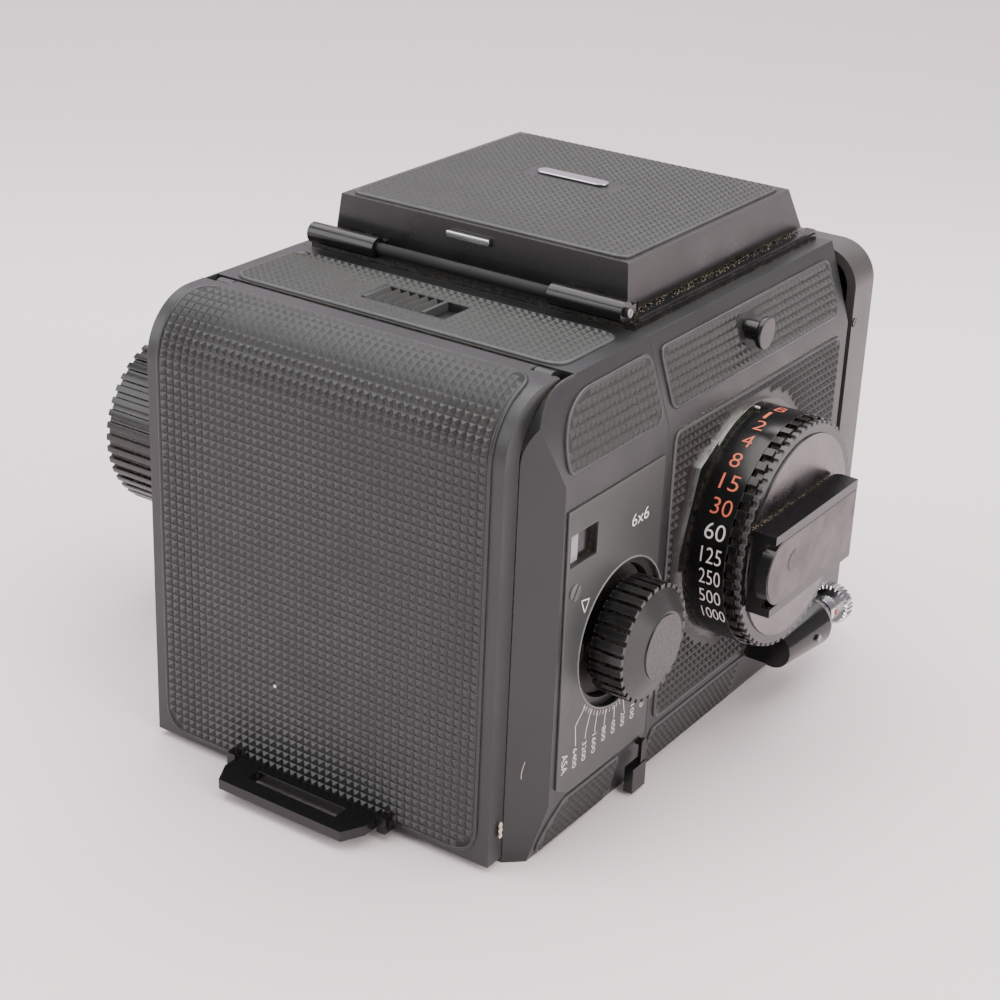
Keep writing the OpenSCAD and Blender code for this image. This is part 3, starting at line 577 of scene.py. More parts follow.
def clear_glass(name, tone, roughness, grain):
    """Glass of one roughness, a little uneven from polishing or grinding."""
    material, tree, out = new_material(name)
    place = add(tree, "ShaderNodeTexCoord").outputs["Object"]
    smear = add(tree, "ShaderNodeTexNoise", {"Scale": grain, "Detail": 3.0}, {"Vector": place})
    rough = add(tree, "ShaderNodeMapRange", {"To Min": roughness * 0.6, "To Max": roughness * 1.4},
                {"Value": smear.outputs["Fac"]})
    shader = add(tree, "ShaderNodeBsdfPrincipled",
                 {"Base Color": linear(tone), "IOR": 1.52, "Transmission Weight": 1.0},
                 {"Roughness": rough.outputs[0]})
    tree.links.new(shader.outputs[0], out.inputs[0])
    return material


silvered = plated("silvered", "#e4e6e8", 0.03, 0.02)
worn("mirror_box", "mirror_chamber", 0.0003, matt_black)
worn("screen_frame", "screen_holder", 0.0003, matt_black)
dress("focusing_screen", clear_glass("ground_glass", "#e9ecec", 0.4, 3000.0))
mirror = worn("reflex_mirror", "swinging_mirror", 0.0002, matt_black)
coat(mirror, silvered, lambda corners, normal: normal.y < -0.6 and normal.z > 0.6)

# ---- Shutter ----
# A cloth focal-plane curtain on two steel rollers behind its gate.


def curtain_cloth():
    """Rubberised black silk, its weave just showing."""
    material, tree, out = new_material("curtain_cloth")
    place = add(tree, "ShaderNodeTexCoord").outputs["Object"]
    warp = add(tree, "ShaderNodeTexWave", {"Scale": 1100.0, "bands_direction": "X"}, {"Vector": place})
    weft = add(tree, "ShaderNodeTexWave", {"Scale": 1100.0, "bands_direction": "Z"}, {"Vector": place})
    weave = add(tree, "ShaderNodeMath", {"operation": "MAXIMUM"},
                {0: warp.outputs["Fac"], 1: weft.outputs["Fac"]})
    bump = add(tree, "ShaderNodeBump", {"Strength": 0.5, "Distance": 0.00005}, {"Height": weave.outputs[0]})
    shader = add(tree, "ShaderNodeBsdfPrincipled",
                 {"Base Color": linear("#1b1b1d"), "IOR": 1.5, "Roughness": 0.8, "Sheen Weight": 0.2},
                 {"Normal": bump.outputs["Normal"]})
    tree.links.new(shader.outputs[0], out.inputs[0])
    return material


worn("shutter_gate", "shutter_window", 0.0002, matt_black)
dress("shutter_curtain", curtain_cloth())
dress("shutter_rollers", ground_steel)

# ---- Speed dial and crank ----
# A glossy black drum with painted shutter times stands on a silver-edged plate.
# Inside it turns the film crank's cap, whose handle folds flat across it.

drum_y, drum_z, drum_r = 2, 51.3, 26.4


def paint(name, tone):
    """Filled or printed lettering paint, slightly uneven."""
    material, tree, out = new_material(name)
    place = add(tree, "ShaderNodeTexCoord").outputs["Object"]
    thin = add(tree, "ShaderNodeTexNoise", {"Scale": 1500.0, "Detail": 3.0}, {"Vector": place})
    rough = add(tree, "ShaderNodeMapRange", {"To Min": 0.4, "To Max": 0.75}, {"Value": thin.outputs["Fac"]})
    shader = add(tree, "ShaderNodeBsdfPrincipled", {"Base Color": linear(tone), "IOR": 1.5},
                 {"Roughness": rough.outputs[0]})
    tree.links.new(shader.outputs[0], out.inputs[0])
    return material


def figures(text, wide, tall, place):
    """Flat lettering in a box of one width and height, set on a surface by place(u, v)."""
    font = bpy.data.curves.new("figures", "FONT")
    font.body, font.offset, font.resolution_u = text, -0.006, 5
    source = bpy.data.objects.new("figures", font)
    bpy.context.scene.collection.objects.link(source)
    bpy.context.view_layer.update()
    flat = bpy.data.meshes.new_from_object(source.evaluated_get(bpy.context.evaluated_depsgraph_get()))
    bpy.data.objects.remove(source)
    mesh = bmesh.new()
    mesh.from_mesh(flat)
    us, vs = [v.co.x for v in mesh.verts], [v.co.y for v in mesh.verts]
    across, up = wide / (max(us) - min(us)), tall / (max(vs) - min(vs))
    for vert in mesh.verts:
        vert.co = ((vert.co.x - min(us)) * across, (vert.co.y - min(vs)) * up - tall / 2, 0)
    bmesh.ops.subdivide_edges(mesh, edges=[e for e in mesh.edges if e.calc_length() > 0.9], cuts=2)
    bmesh.ops.triangulate(mesh, faces=mesh.faces)
    for vert in mesh.verts:
        vert.co = place(vert.co.x, vert.co.y)
    mesh.to_mesh(flat)
    mesh.free()
    return flat


def lay_on(name, mesh, body, material):
    """Lays a small mark or part on the body that it rides."""
    data = settled(name, mesh)
    data.materials.append(material)
    made = bpy.data.objects.new(name, data)
    bpy.context.scene.collection.objects.link(made)
    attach(made, body)


def printed(name, marks, body, material):
    """Several pieces of flat lettering or lines as one printed layer."""
    mesh = bmesh.new()
    for mark in marks:
        mesh.from_mesh(mark)
    lay_on(name, mesh, body, material)


def on_drum(turn, start):
    """Places lettering on the drum's wall, its right towards the crank and its top up the turn."""
    def place(u, v):
        a = math.radians(turn) + v / drum_r
        r = drum_r + 0.05
        return Vector((start - u, drum_y + r * math.cos(a), drum_z + r * math.sin(a))) / 1000
    return place


def disc(name, centre, radius, lift, body, material, count=48):
    """A round printed or inlaid patch on the dial side, proud by its lift."""
    x, y, z = centre
    mesh = bmesh.new()
    rings = []
    for r, h in ((radius, 0), (radius, lift * 0.7), (radius - lift * 0.5, lift)):
        rings.append([mesh.verts.new(Vector((x - h, y + r * math.cos(a), z + r * math.sin(a))) / 1000)
                      for a in [2 * math.pi * k / count for k in range(count)]])
    for low, high in zip(rings, rings[1:]):
        for k in range(count):
            mesh.faces.new((low[k], high[k], high[k - 1], low[k - 1]))
    mesh.faces.new(rings[-1])
    bmesh.ops.recalc_face_normals(mesh, faces=mesh.faces)
    top = max(mesh.faces, key=lambda f: len(f.verts))
    if top.normal.x > 0:
        bmesh.ops.reverse_faces(mesh, faces=mesh.faces)
    lay_on(name, mesh, body, material)


def pebbled(name, tone, scale, depth):
    """Grey metal or plastic with a fine pebbled face."""
    material, tree, out = new_material(name)
    place = add(tree, "ShaderNodeTexCoord").outputs["Object"]
    pebble = add(tree, "ShaderNodeTexVoronoi", {"Scale": scale}, {"Vector": place})
    shadow = add(tree, "ShaderNodeMapRange", {"From Max": 0.7, "To Min": 1.0, "To Max": 0.55},
                 {"Value": pebble.outputs["Distance"]})
    shaded_tint = add(tree, "ShaderNodeVectorMath", {"operation": "SCALE", 0: linear(tone)[:3]},
               {3: shadow.outputs[0]})
    bump = add(tree, "ShaderNodeBump", {"Strength": 0.8, "Distance": depth, "invert": True},
               {"Height": pebble.outputs["Distance"]})
    shader = add(tree, "ShaderNodeBsdfPrincipled", {"IOR": 1.5, "Roughness": 0.42},
                 {"Base Color": shaded_tint.outputs[0], "Normal": bump.outputs["Normal"]})
    tree.links.new(shader.outputs[0], out.inputs[0])
    return material


def off_axis(corner, y, z):
    return math.hypot(corner.y - y, corner.z - z)


white_paint = paint("white_paint", "#e9e4dc")
orange_paint = paint("orange_paint", "#dc6c50")
cap_grey = plated("cap_grey", "#6d696a", 0.26, 0.5)
# Painted highlights: the grey tone and near-white edges stand in for light on the black rim's teeth and on
# the recess's chamfer.
rim_grey_painted_highlights = enamel("rim_grey_painted_highlights", "#444446", 0.3, 0.2, worn="#b4b4b6")
handle_grey = plated("handle_grey", "#625d5e", 0.38, 0.6)
plate = worn("dial_base_plate", "dial_plate", 0.0002, plated("plate_edge", "#efece6", 0.28, 0.5))
coat(plate, gloss_black, lambda corners, normal: normal.x < -0.9)
drum = worn("speed_ring", "speed_drum", 0.0002, gloss_black)
times = [("B", 98, 2.4), ("1", 87, 0.8), ("2", 76.5, 2.5), ("4", 64.5, 2.5), ("8", 52.5, 2.5),
         ("15", 41, 4.6),
         ("30", 29, 5.1), ("60", 17.2, 5.1), ("125", 5.5, 5.2), ("250", -5.5, 5.4), ("500", -16.5, 5.4),
         ("1000", -28, 5.9)]
for name, chosen, material in (("slow_times", times[:7], orange_paint),
                               ("fast_times", times[7:], white_paint)):
    printed(name, [figures(text, wide * 0.95, 3.6, on_drum(turn, -56.4)) for text, turn, wide in chosen],
            "shutter_dial", material)
cap = worn("crank_disc", "crank_cap", 0.00015, gloss_black)
coat(cap, cap_grey, lambda corners, normal: normal.x < -0.6 and all(
    c.x < -66.1 and off_axis(c, drum_y,
                             drum_z) < 23.1 for c in corners) and all(c.x > -66.5 for c in corners))
# The rim's teeth take painted highlights.
coat(cap, rim_grey_painted_highlights, lambda corners, normal: all(
    c.x < -64.4 and off_axis(c, drum_y, drum_z) > 23.7 for c in corners))
worn("crank_handle", "crank_grip_bar", 0.0004, gloss_black)


def grip_inlay(lift=0.12):
    """The grey metal inlay on the grip's outer face, square at the hinge and round at its end."""
    tip_y, half = 20.3, 7.2
    outline = [(-13.1, -half), *((tip_y + half * math.cos(a), half * math.sin(a))
                                 for a in [math.radians(-90 + 7.5 * k) for k in range(25)]), (-13.1, half)]
    mesh = bmesh.new()
    low = [mesh.verts.new(Vector((-72.18, y, drum_z + 0.2 + z)) / 1000) for y, z in outline]
    high = [mesh.verts.new(Vector((-72.2 - lift, y, drum_z + 0.2 + z * 0.985)) / 1000) for y, z in outline]
    mesh.faces.new(high)
    for k in range(len(outline)):
        mesh.faces.new((low[k - 1], low[k], high[k], high[k - 1]))
    bmesh.ops.recalc_face_normals(mesh, faces=mesh.faces)
    if max(mesh.faces, key=lambda f: len(f.verts)).normal.x > 0:
        bmesh.ops.reverse_faces(mesh, faces=mesh.faces)
    lay_on("grip_inlay", mesh, "crank_grip", handle_grey)


grip_inlay()
disc("grip_emblem_rim", (-72.3, 16, 52.3), 2.7, 0.08, "crank_grip", gloss_black)
disc("grip_emblem", (-72.36, 16, 52.3), 2.35, 0.08, "crank_grip",
     pebbled("emblem_grey", "#4c494a", 1500.0, 0.0002))


def index_mark():
    """The white index: a short raised tooth on the plate beside the drum."""
    mesh = bmesh.new()
    bmesh.ops.create_cube(mesh, size=0.001, matrix=Matrix.Translation((-0.05325, drum_y / 1000, 0.0782))
                          @ Matrix.Diagonal((1.7, 0.5, 0.45, 1)))
    bmesh.ops.bevel(mesh, geom=mesh.edges[:], offset=0.0001, segments=2, affect="EDGES")
    lay_on("index_tooth", mesh, "camera_body", white_paint)


index_mark()

# ---- Cable release ----
# A black barrel low on the dial side with a sprung chrome plunger, a fluted
# collar that locks it and a slotted set screw.


def turned(name, profile, axis_x, axis_z, body, slot, material, count=96, flutes=0, depth=0.0):
    """A lathe-turned ring along Y from a closed profile of (radius, y, fluted) in millimetres."""
    mesh = bmesh.new()
    rows = []
    for radius, y, fluted in profile:
        row = []
        for k in range(count):
            a = 2 * math.pi * k / count
            r = radius - (depth * (math.cos(flutes * a) < 0) if fluted else 0)
            row.append(mesh.verts.new(Vector((axis_x + r * math.cos(a), y, axis_z + r * math.sin(a))) / 1000))
        rows.append(row)
    for low, high in zip(rows, rows[1:] + rows[:1]):
        for k in range(count):
            mesh.faces.new((low[k - 1], low[k], high[k], high[k - 1]))
    bmesh.ops.recalc_face_normals(mesh, faces=mesh.faces)
    shade(mesh, 30)
    data = settled(name, mesh)
    return show(bpy.data.objects.new(name, data), body, slot, material)


red_paint = paint("red_paint", "#a8322c")
worn("release_housing", "release_barrel", 0.0003, gloss_black)
worn("release_button", "release_plunger", 0.0002, chrome)
knurl = turned("release_knurl",
               [(3.25, -39.2, 0), (4.6, -39.2, 1), (5.2, -38.7, 1), (5.2, -36.1, 1), (4.6, -35.6, 1),
                (3.3, -35.6, 0),
                (3.3, -31.0, 0), (2.27, -31.0, 0), (2.27, -37.2, 0), (3.25, -37.2, 0)],
               -59, 16, "lock_collar", slot_of("release_collar"), chrome, count=112, flutes=28, depth=0.35)
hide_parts("release_collar")
disc("release_dot", (-62.22, -33.2, 16.2), 0.75, 0.12, "lock_collar", red_paint, count=24)


def slotted_head(name, centre, radius, body, material):
    """A slotted screw head facing the dial side."""
    x, y, z = centre
    mesh = bmesh.new()
    for side in (-1, 1):
        arc = [(side * (0.14 * radius), -math.sqrt(1 - 0.0196) * radius)]
        arc += [(side * radius * math.cos(a), radius * math.sin(a))
                for a in [math.asin(-0.98) + k * 2 * math.asin(0.98) / 20 for k in range(21)]
                if math.cos(a) * radius > 0.14 * radius]
        arc += [(side * (0.14 * radius), math.sqrt(1 - 0.0196) * radius)]
        low = [mesh.verts.new(Vector((x, y + u, z + v)) / 1000) for u, v in arc]
        high = [mesh.verts.new(Vector((x - 0.25, y + u, z + v)) / 1000) for u, v in arc]
        mesh.faces.new(high)
        for k in range(len(arc)):
            mesh.faces.new((low[k - 1], low[k], high[k], high[k - 1]))
    bmesh.ops.rotate(mesh, verts=mesh.verts, cent=Vector((x, y, z)) / 1000,
                     matrix=Matrix.Rotation(math.radians(35), 3, "X"))
    bmesh.ops.recalc_face_normals(mesh, faces=mesh.faces)
    lay_on(name, mesh, body, material)


slotted_head("release_set_screw", (-64.9, -19, 16), 0.95, "camera_body", ground_steel)

# ---- Folding hood ----
# The waist-level hood lies folded under its leathered lid. It hinges in
# barrels on a raised rail, and a chrome tab at the back lets it spring open.
satin_lid = enamel("satin_lid", "#1c1c1d", 0.3, 0.35, worn="#b9b7b2")
worn("hood_base", "hood_rail", 0.0003, gloss_black)
worn("lid_shell", "hood_cover", 0.0015, satin_lid, steps=4)
lid_hide = panel("lid_hide", top_side(115.3),
                 soft_corners([(-35.2, -35), (35.2, -35), (35.2, 31.6), (-35.2, 31.6)], 2.2),
                 "hood_lid", clear=[[(-6.5, -12.5), (14.5, -12.5), (14.5, -6.5), (-6.5, -6.5)]])
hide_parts("lid_leather")
worn("lid_badge", "badge", 0.0002, chrome)
worn("latch_tab", "latch", 0.0003, chrome)
for part in ("hood_rear_wall", "hood_left_wall", "hood_right_wall"):
    worn(part, part.replace("hood", "shade"), 0.0001, matt_black)
worn("magnifier_frame", "magnifier_ring", 0.0003, matt_black)


def dust_tree():
    """Geometry nodes that strew specks of one size along a line, within a spread of it."""
    tree = bpy.data.node_groups.new("dust", "GeometryNodeTree")
    sockets(tree,
            [("Line", "Geometry"), ("Count", "Int"), ("Spread", "Vector"), ("Size", "Float"),
             ("Finish", "Material")], "Dust")
    given = add(tree, "NodeGroupInput")
    path = add(tree, "GeometryNodeMeshToCurve", {}, {"Mesh": given.outputs["Line"]})
    spots = add(tree, "GeometryNodeResampleCurve", {},
                {"Curve": path.outputs["Curve"], "Count": given.outputs["Count"]})
    back = add(tree, "ShaderNodeVectorMath", {"operation": "SCALE", "Scale": -1.0},
               {0: given.outputs["Spread"]})
    stray = add(tree, "FunctionNodeRandomValue", {"data_type": "FLOAT_VECTOR", "Seed": 11},
                {0: back.outputs[0], 1: given.outputs["Spread"]})
    laid = add(tree, "GeometryNodeSetPosition", {},
               {"Geometry": spots.outputs["Curve"], "Offset": stray.outputs[0]})
    speck = add(tree, "GeometryNodeMeshIcoSphere", {"Subdivisions": 1}, {"Radius": given.outputs["Size"]})
    vary = add(tree, "FunctionNodeRandomValue",
               {"data_type": "FLOAT_VECTOR", "Seed": 12, 0: (0.2, 0.2, 0.2), 1: (1.6, 1.2, 0.9)})
    strewn = add(tree, "GeometryNodeInstanceOnPoints", {},
                 {"Points": laid.outputs["Geometry"], "Instance": speck.outputs["Mesh"],
                  "Scale": vary.outputs[0]})
    solid = add(tree, "GeometryNodeRealizeInstances", {}, {"Geometry": strewn.outputs["Instances"]})
    coat_all = add(tree, "GeometryNodeSetMaterial", {},
                   {"Geometry": solid.outputs["Geometry"], "Material": given.outputs["Finish"]})
    add(tree, "NodeGroupOutput", {}, {"Dust": coat_all.outputs["Geometry"]})
    return tree


dust_line = dust_tree()
cream_dust = paint("cream_dust", "#a89c86")
brown_dust = paint("brown_dust", "#5d4f3c")


def dust(name, points, count, spread, size, body, material):
    """Specks of dust lying along a line of points in millimetres."""
    line = line_mesh(name, [[Vector(p) / 1000 for p in points]], closed=False)
    data = grown(name, line, dust_line,
                 {"Count": count, "Spread": [s / 1000 for s in spread], "Size": size / 1000,
                                         "Finish": material})
    made = bpy.data.objects.new(name, data)
    bpy.context.scene.collection.objects.link(made)
    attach(made, body)


for name, points, count, spread, size, body, grit in (
        ("hinge_dust", [(-21, 37.6, 106.0), (21, 37.6, 106.0)], 260, (0.2, 1.5, 0.25), 0.14, "camera_body",
         cream_dust),
        ("rail_dust", [(-39.6, -42, 105.3), (-39.6, 35, 105.3)], 260, (0.9, 0.3, 0.2), 0.13, "camera_body",
         cream_dust),
        ("rail_dust_left", [(39.6, -42, 105.3), (39.6, 35, 105.3)], 120, (0.9, 0.3, 0.2), 0.13, "camera_body",
         cream_dust),
        ("ridge_dust", [(-51.9, -40, 83.2), (-51.9, 34, 83.2)], 130, (0.25, 0.3, 0.5), 0.11, "camera_body",
         cream_dust),
        ("upper_rib_dust", [(-51.0, -40, 87.8), (-51.0, 34, 87.8), (-47.4, 34, 99.2)], 130, (0.2, 0.4, 0.4),
         0.1,
         "camera_body", cream_dust),
        ("grip_crease_dust", [(-66.5, -13, 61.2), (-66.5, 25, 61.2)], 160, (0.3, 0.4, 0.35), 0.11, "crank",
         cream_dust),
        ("plate_dust", [(-51.9, 26, 77), (-51.9, 33.5, 60), (-51.9, 34, 50)], 90, (0.3, 1.6, 1.6), 0.11,
         "camera_body", brown_dust)):
    dust(name, points, count, spread, size, body, grit)
dress("magnifier_lens", clear_glass("lens_glass", "#f2f5f6", 0.02, 300.0))

# ---- Film magazine ----
# The film housing takes the roll, the gate and the winding gears. Its control
# plate is printed with the film-speed scale; leather fills its other faces.


def on_plate(y, z, upright=False):
    """Places lettering on the control plate, reading down it or along it from one point."""
    x = -52.24
    if upright:
        return lambda u, v: Vector((x, y - u, z + v)) / 1000
    return lambda u, v: Vector((x, y - v, z - u)) / 1000


def ruled(points, wide, x=-52.24):
    """A printed line of one width along points (y, z) of a face of the control plate."""
    mesh = bmesh.new()
    for (y0, z0), (y1, z1) in zip(points, points[1:]):
        run = Vector((y1 - y0, z1 - z0)).normalized() * wide / 2
        corners = [(y0 - run.y - run.x, z0 + run.x - run.y), (y0 + run.y - run.x, z0 - run.x - run.y),
                   (y1 + run.y + run.x, z1 - run.x + run.y), (y1 - run.y + run.x, z1 + run.x + run.y)]
        face = mesh.faces.new([mesh.verts.new(Vector((x, y, z)) / 1000) for y, z in corners])
        face.normal_update()
        if face.normal.x > 0:
            face.normal_flip()
    data = settled("ruled", mesh)
    return data


worn("magazine_shell", "magazine_casting", 0.0007, satin_black, steps=3)
worn("magazine_side_plate", "magazine_control_plate", 0.00018, enamel("plate_black", "#3c3d3d", 0.42, 0.35))
leaders = [("6400", 68.2, [(65.2, 31.7), (68.6, 28.7), (68.1, 23.8)]),
           ("3200", 64.6, [(62.7, 30), (64.3, 25.4), (64.4, 23.9)]),
           ("1600", 60.8, [(60, 28.3), (60.7, 24.7), (60.7, 23.7)]), ("800", 57, [(56.7, 27), (57, 23.5)]),
           ("400", 53.2, [(53.2, 26.4), (53.1, 23.5)]), ("200", 49.4, [(49.7, 26.4), (49, 23.5)])]
scale = [ruled(points, 0.22) for _, _, points in leaders]
scale += [figures(text, 1.15 * len(text), 1.5, on_plate(y, 23.2)) for text, y, _ in leaders]
scale += [figures("100", 3.4, 1.5, on_plate(45.5, 23.2)), figures("50", 2.3, 1.5, on_plate(41.6, 23.2))]
for k in range(1, 16):
    lean = math.radians(-38 - k * 4.4)
    scale.append(ruled([(52.7 + r * math.cos(lean), 43.7 + r * math.sin(lean)) for r in (17.0, 17.9)], 0.16))
scale += [figures("ASA", 4.6, 2.2, on_plate(72.1, 23.6)),
          figures("6x6", 6.6, 2.7, on_plate(51.2, 68.4, upright=True)),
          ruled([(69.2, 57.6), (66.2, 57.0), (67.8, 54.4), (69.2, 57.6)], 0.26)]
printed("film_scale", scale, "film_magazine", white_paint)
dust("pocket_dust", [(8, 53.5, 101.6), (12.2, 53.5, 101.6)], 90, (0.8, 3.6, 0.15), 0.16, "film_magazine",
     cream_dust)
dust("recess_dust",
     [(-48.0, 52.7 + 12.5 * math.cos(a), 43.7 + 12.5 * math.sin(a)) for a in (-0.9, -0.4, 0.1, 0.6, 1.1)],
     130, (0.3, 1.6, 1.6), 0.17, "film_magazine", brown_dust)
# The plate screw's greenish grey tone is a painted sheen.
slotted_head("plate_screw", (-52.2, 72.0, 60.6), 1.9, "film_magazine",
             enamel("screw_grey_painted_sheen", "#4a4e4c", 0.25, 0.1))
# A painted highlight: a light bead round the recess's chamfer.
bead("recess_lip", [[Vector((-52.2, y, z)) / 1000 for y, z in ring_outline(52.7, 43.7, 16.4, 72)]], 0.00022,
     "film_magazine", "satin_black_paint", rim_grey_painted_highlights)
worn("counter_window", "frame_window", 0.0001, gloss_black)
printed("frame_count_strip", [ruled([(71.7, 66.6), (71.7, 73.2)], 4.6, x=-50.66)], "film_magazine",
        paint("strip_grey", "#9d979f"))
cheek = [(39.6, 86.4), (74.2, 86.4), (74.4, 89), (73.4, 92.6), (71.2, 95.8), (68, 98.2), (64, 99.6),
         (39.6, 99.8)]
slider_pocket = [(-9, 49), (12.4, 49), (12.4, 58), (-9, 58)]
magazine_hide = panel("magazine_top_hide", top_side(103.0),
                      soft_corners([(-41.4, 42.8), (41.4, 42.8), (41.4, 64.4), (-41.4, 64.4)], 4),
                      "film_magazine", holes=[slider_pocket])
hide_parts("magazine_leather")
panel("magazine_cheek_hide", dial_side, soft_corners(cheek, 2), "film_magazine")
panel("magazine_hem_hide", dial_side,
      soft_corners([(49, 1.2), (77, 1.2), (75.4, 6), (70.5, 12), (49, 12)], 2),
      "film_magazine")
panel("magazine_left_hide", focus_side,
      soft_corners([(39.6, 14.8), (73.6, 14.8), (73.6, 82.2), (39.6, 82.2)], 2),
      "film_magazine", holes=[[(48.4, 19), (49.8, 19), (49.8, 81.9), (48.4, 81.9)]],
      clear=[[(47, 17), (52, 17), (52, 85), (47, 85)]])
panel("magazine_left_cheek", focus_side,
      soft_corners([(39.6, 87.2), (69.6, 87.2), (69.6, 99.6), (39.6, 99.6)], 2),
      "film_magazine")
worn("magazine_lever", "release_lever", 0.0003, gloss_black)
worn("lock_slider", "serrated_slider", 0.00015, enamel("slider_grey", "#3f4041", 0.36, 0.3, worn="#8d8d8e"))

# ---- Film-speed dial and winding knob ----
# The ribbed knob winds the film; behind it, down in a dusty recess, a flat
# metal dial carries the film-speed pointer.
# The near-white worn colour paints highlights on the knobs' rib edges, as well as wear.
moulded_black_edge_highlights = enamel("moulded_black_edge_highlights", "#121213", 0.28, 0.3, worn="#a5a5a7")
worn("film_speed_ring", "film_speed_dial", 0.0002,
     enamel("dusty_dial", "#231f19", 0.6, 0.6, dust=1.0, worn="#6f6140"))
knob = worn("winding_knob", "winding_grip", 0.0002, moulded_black_edge_highlights)
coat(knob, pebbled("knob_inset", "#4a4748", 1300.0, 0.0002),
     lambda corners, normal: normal.x < -0.9 and all(c.x < -62.4 for c in corners))
coat(knob, enamel("knob_face", "#2a2a2a", 0.3, 0.2), lambda corners, normal: normal.x < -0.2 and all(
    -62.45 < c.x < -60.0 for c in corners))
brass = plated("brass", "#b8995a", 0.3)
for part, finish in (("winding_gear", brass), ("take_up_gear", brass), ("take_up_spool", moulded_black_edge_highlights),
                     ("supply_spool", moulded_black_edge_highlights), ("film_gate", matt_black), ("pressure_plate",
                                                                                  ground_steel),
                     ("film_rollers", ground_steel)):
    dress(part, finish)

# ---- Dark slide ----
# A thin sheet of spring steel that closes the film gate, drawn out by its grip.
worn("dark_slide", "slide_sheet", 0.00015, ground_steel)

# ---- Back cover ----
# A pressed cover that bends over from the back of the magazine on to its top,
# hinged there. Its leather follows the bend and a bead runs round the leather.


def cover_point(x, s, lift=0.0):
    """A point on the cover, x across and s up and over its bend, in millimetres."""
    turn = (s - 90) / 13.4
    if s < 90:
        return Vector((x, 88 + lift, s)) / 1000
    if turn < math.pi / 2:
        r = 13.4 + lift
        return Vector((x, 74.6 + r * math.cos(turn), 90 + r * math.sin(turn))) / 1000
    return Vector((x, 74.6 - (s - 90 - 13.4 * math.pi / 2), 103.4 + lift)) / 1000


def cover_leather():
    """The cover's leather ground as strips across the bend, its corners rounded."""
    low, high, half, corner = 3.6, 112.2, 41.2, 5.0
    heights = [low + corner * (1 - math.cos(k * math.pi / 16)) for k in range(9)]
    heights += [low + corner + k * (90 - low - corner) / 20 for k in range(1, 20)]
    heights += [90 + k * (high - corner - 90) / 16 for k in range(17)]
    heights += [high - corner * (1 - math.sin(k * math.pi / 16)) for k in range(1, 9)]
    mesh = bmesh.new()
    rows = []
    for s in heights:
        dip = max(low + corner - s, s - high + corner, 0)
        wide = half - corner + math.sqrt(max(corner ** 2 - dip ** 2, 0.01))
        rows.append([mesh.verts.new(cover_point(wide * t, s, 0.4)) for t in (-1, -0.6, -0.2, 0.2, 0.6, 1)])
    for low_row, high_row in zip(rows, rows[1:]):
        for a, b, c, d in zip(low_row, low_row[1:], high_row[1:], high_row):
            mesh.faces.new((b, a, d, c)).smooth = True
    data = settled("cover_hide", mesh)
    made = show(bpy.data.objects.new("cover_hide", data), "back_cover", "leatherette", leatherette)
    depth = made.modifiers.new("depth", "SOLIDIFY")
    depth.thickness, depth.offset = 0.0004, -1
    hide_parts("cover_leather")
    outline = soft_corners([(-41.3, 3.6), (41.3, 3.6), (41.3, 112.3), (-41.3, 112.3)], 5.5)
    leather_grain("cover_grain", cover_point, outline, [], "back_cover", 0.34)


def cover_bead():
    outline = soft_corners([(-41.7, 3.2), (41.7, 3.2), (41.7, 112.7), (-41.7, 112.7)], 6.5)
    fine = []
    for (x0, s0), (x1, s1) in zip(outline, outline[1:] + outline[:1]):
        count = max(1, int(abs(s1 - s0) / 1.5))
        fine += [cover_point(x0 + (x1 - x0) * k / count, s0 + (s1 - s0) * k / count,
                             0.1) for k in range(count)]
    bead("cover_bead", [fine], 0.0005, "back_cover", "satin_black_paint", satin_black)


worn("cover_shell", "cover_casting", 0.0013, satin_black, steps=3)
cover_leather()
cover_bead()
dress("cover_hinge_pin", ground_steel)
worn("bail_brackets", "bail_posts", 0.0003, gloss_black)
worn("cover_bail", "opening_bail", 0.0004, gloss_black)


def crumb(name, centre, size, body, material, seed):
    """A speck of grit: a small uneven lump."""
    mesh = bmesh.new()
    bmesh.ops.create_icosphere(mesh, subdivisions=2, radius=0.5)
    dice = random.Random(seed)
    for vert in mesh.verts:
        spread = [c * s * dice.uniform(0.75, 1.15) / 1000 for c, s in zip(vert.co, size)]
        vert.co = Vector(centre) / 1000 + Vector(spread)
    for face in mesh.faces:
        face.smooth = True
    lay_on(name, mesh, body, material)


cream = paint("cream_lint", "#c9bfa9")
strand = [Vector((-49.9 + 0.02 * k, 83.4 + 0.9 * math.sin(k / 5), 26.5 - 0.34 * k)) / 1000 for k in range(12)]
hair_line = line_mesh("stray_hair", [strand], closed=False)
hair = bpy.data.objects.new("stray_hair", grown("stray_hair", hair_line, bead_line,
                                               {"Radius": 0.00006, "Finish": cream}))
bpy.context.scene.collection.objects.link(hair)
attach(hair, "film_magazine")
crumb("cover_speck", (10.2, 88.95, 24.9), (0.9, 0.3, 0.8), "back_cover", white_paint, 3)
for k, (height, wide) in enumerate(((10.4, 1.3), (9.2, 1.6), (7.9, 1.3))):
    crumb(f"gap_lint_{k}", (-45.6, 84.6, height), (0.7, wide, 1.5), "film_magazine", cream, 7 + k)

# ---- Front standard ----
# A cast frame slides on two racks and holds the tilting lens board with its
# bayonet. Folded cloth bellows close it to the body.


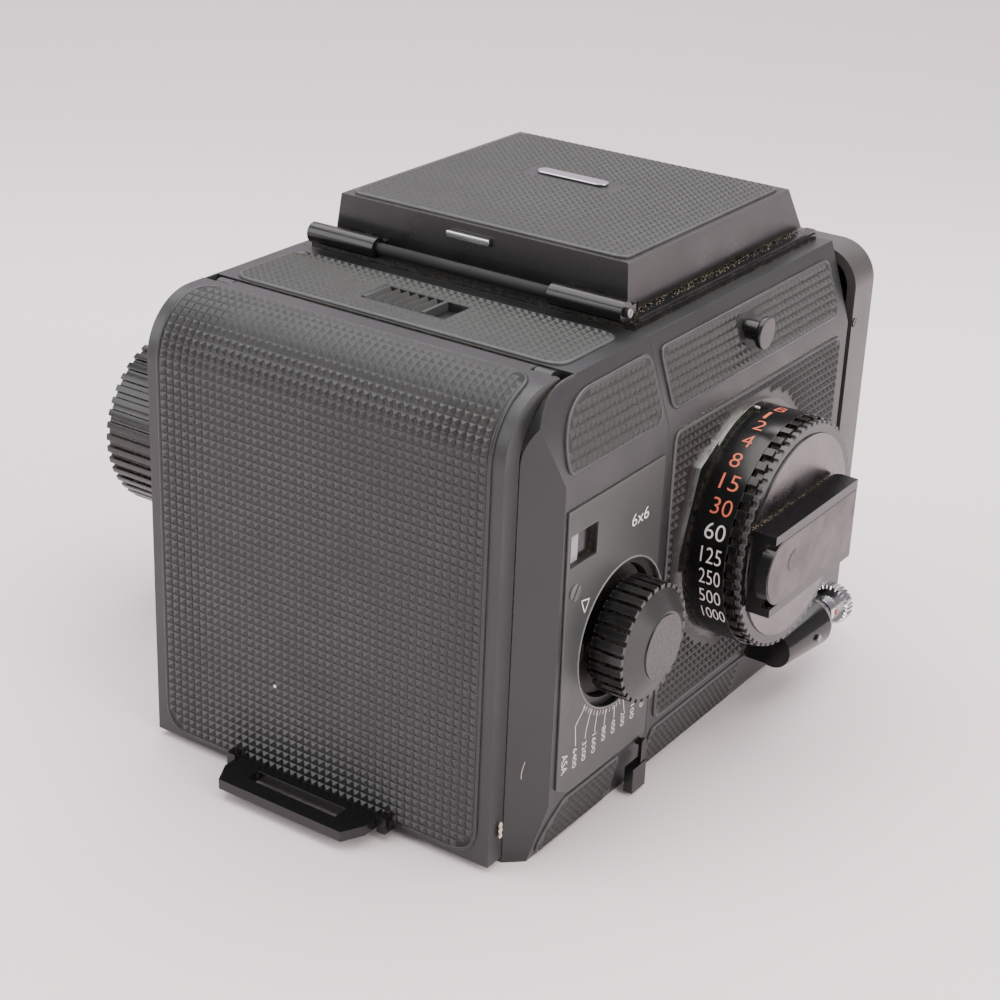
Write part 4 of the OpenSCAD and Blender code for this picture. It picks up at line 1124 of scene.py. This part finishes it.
def bellows_folds():
    """Black bellows cloth pleated between the body and the standard."""
    material, tree, out = new_material("bellows_cloth")
    place = add(tree, "ShaderNodeTexCoord").outputs["Object"]
    weave = add(tree, "ShaderNodeTexNoise", {"Scale": 2400.0, "Detail": 3.0}, {"Vector": place})
    bump = add(tree, "ShaderNodeBump", {"Strength": 0.4, "Distance": 0.00008},
               {"Height": weave.outputs["Fac"]})
    shader = add(tree, "ShaderNodeBsdfPrincipled",
                 {"Base Color": linear("#1d1d1f"), "IOR": 1.5, "Roughness": 0.62, "Sheen Weight": 0.15},
                 {"Normal": bump.outputs["Normal"]})
    tree.links.new(shader.outputs[0], out.inputs[0])
    for name, rear, front, folds, bodies in (("bellows_folds", -43.4, -45.6, 10,
                                              ("camera_body", "front_standard")),
                                             ("bellows_mouth", -45.6, -51.2, 4,
                                              ("front_standard", "lens_plate"))):
        mesh = bmesh.new()
        rows = []
        for k in range(folds + 1):
            half, corner = (35.3, 5.2) if k % 2 else (33.2, 3.4)
            y = rear + (front - rear) * k / folds
            square = soft_corners([(-half, 51 - half), (half, 51 - half), (half, 51 + half),
                                   (-half, 51 + half)],
                                  corner * 1.6)
            rows.append([mesh.verts.new(Vector((x, y, z)) / 1000) for x, z in square])
        for low, high in zip(rows, rows[1:]):
            for k in range(len(low)):
                mesh.faces.new((low[k - 1], low[k], high[k], high[k - 1]))
        bmesh.ops.recalc_face_normals(mesh, faces=mesh.faces)
        data = settled(name, mesh)
        data.materials.append(material)
        made = bpy.data.objects.new(name, data)
        bpy.context.scene.collection.objects.link(made)
        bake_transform(made)
        if name == "bellows_folds":
            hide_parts("bellows")


standard_grey = enamel("standard_grey", "#434140", 0.36, 0.3)
worn("standard_frame", "front_frame", 0.0012, standard_grey, steps=3)
worn("lens_board", "front_board", 0.0003, matt_black)
worn("bayonet_ring", "bayonet", 0.0003, chrome)
slotted_head("barrel_screw", (-41.25, 39, 107), 0.95, "rear_wall", ground_steel)
slotted_head("standard_screw", (-51.75, -48.4, 83.4), 1.1, "front_standard", gloss_black)
bellows_folds()

# ---- Focusing drive ----
# The big ribbed knob turns the standard's racks through an idler and a pinion,
# all held on studs inside the body.
blued_steel = plated("blued_steel", "#4c4e52", 0.36, 0.5)
worn("focusing_knob", "focusing_grip", 0.0003, moulded_black_edge_highlights)
for part, finish in (("idler_gear", brass), ("pinion_gear", brass), ("focus_studs", ground_steel),
                     ("focusing_racks", blued_steel), ("standard_guides", blued_steel)):
    dress(part, finish)
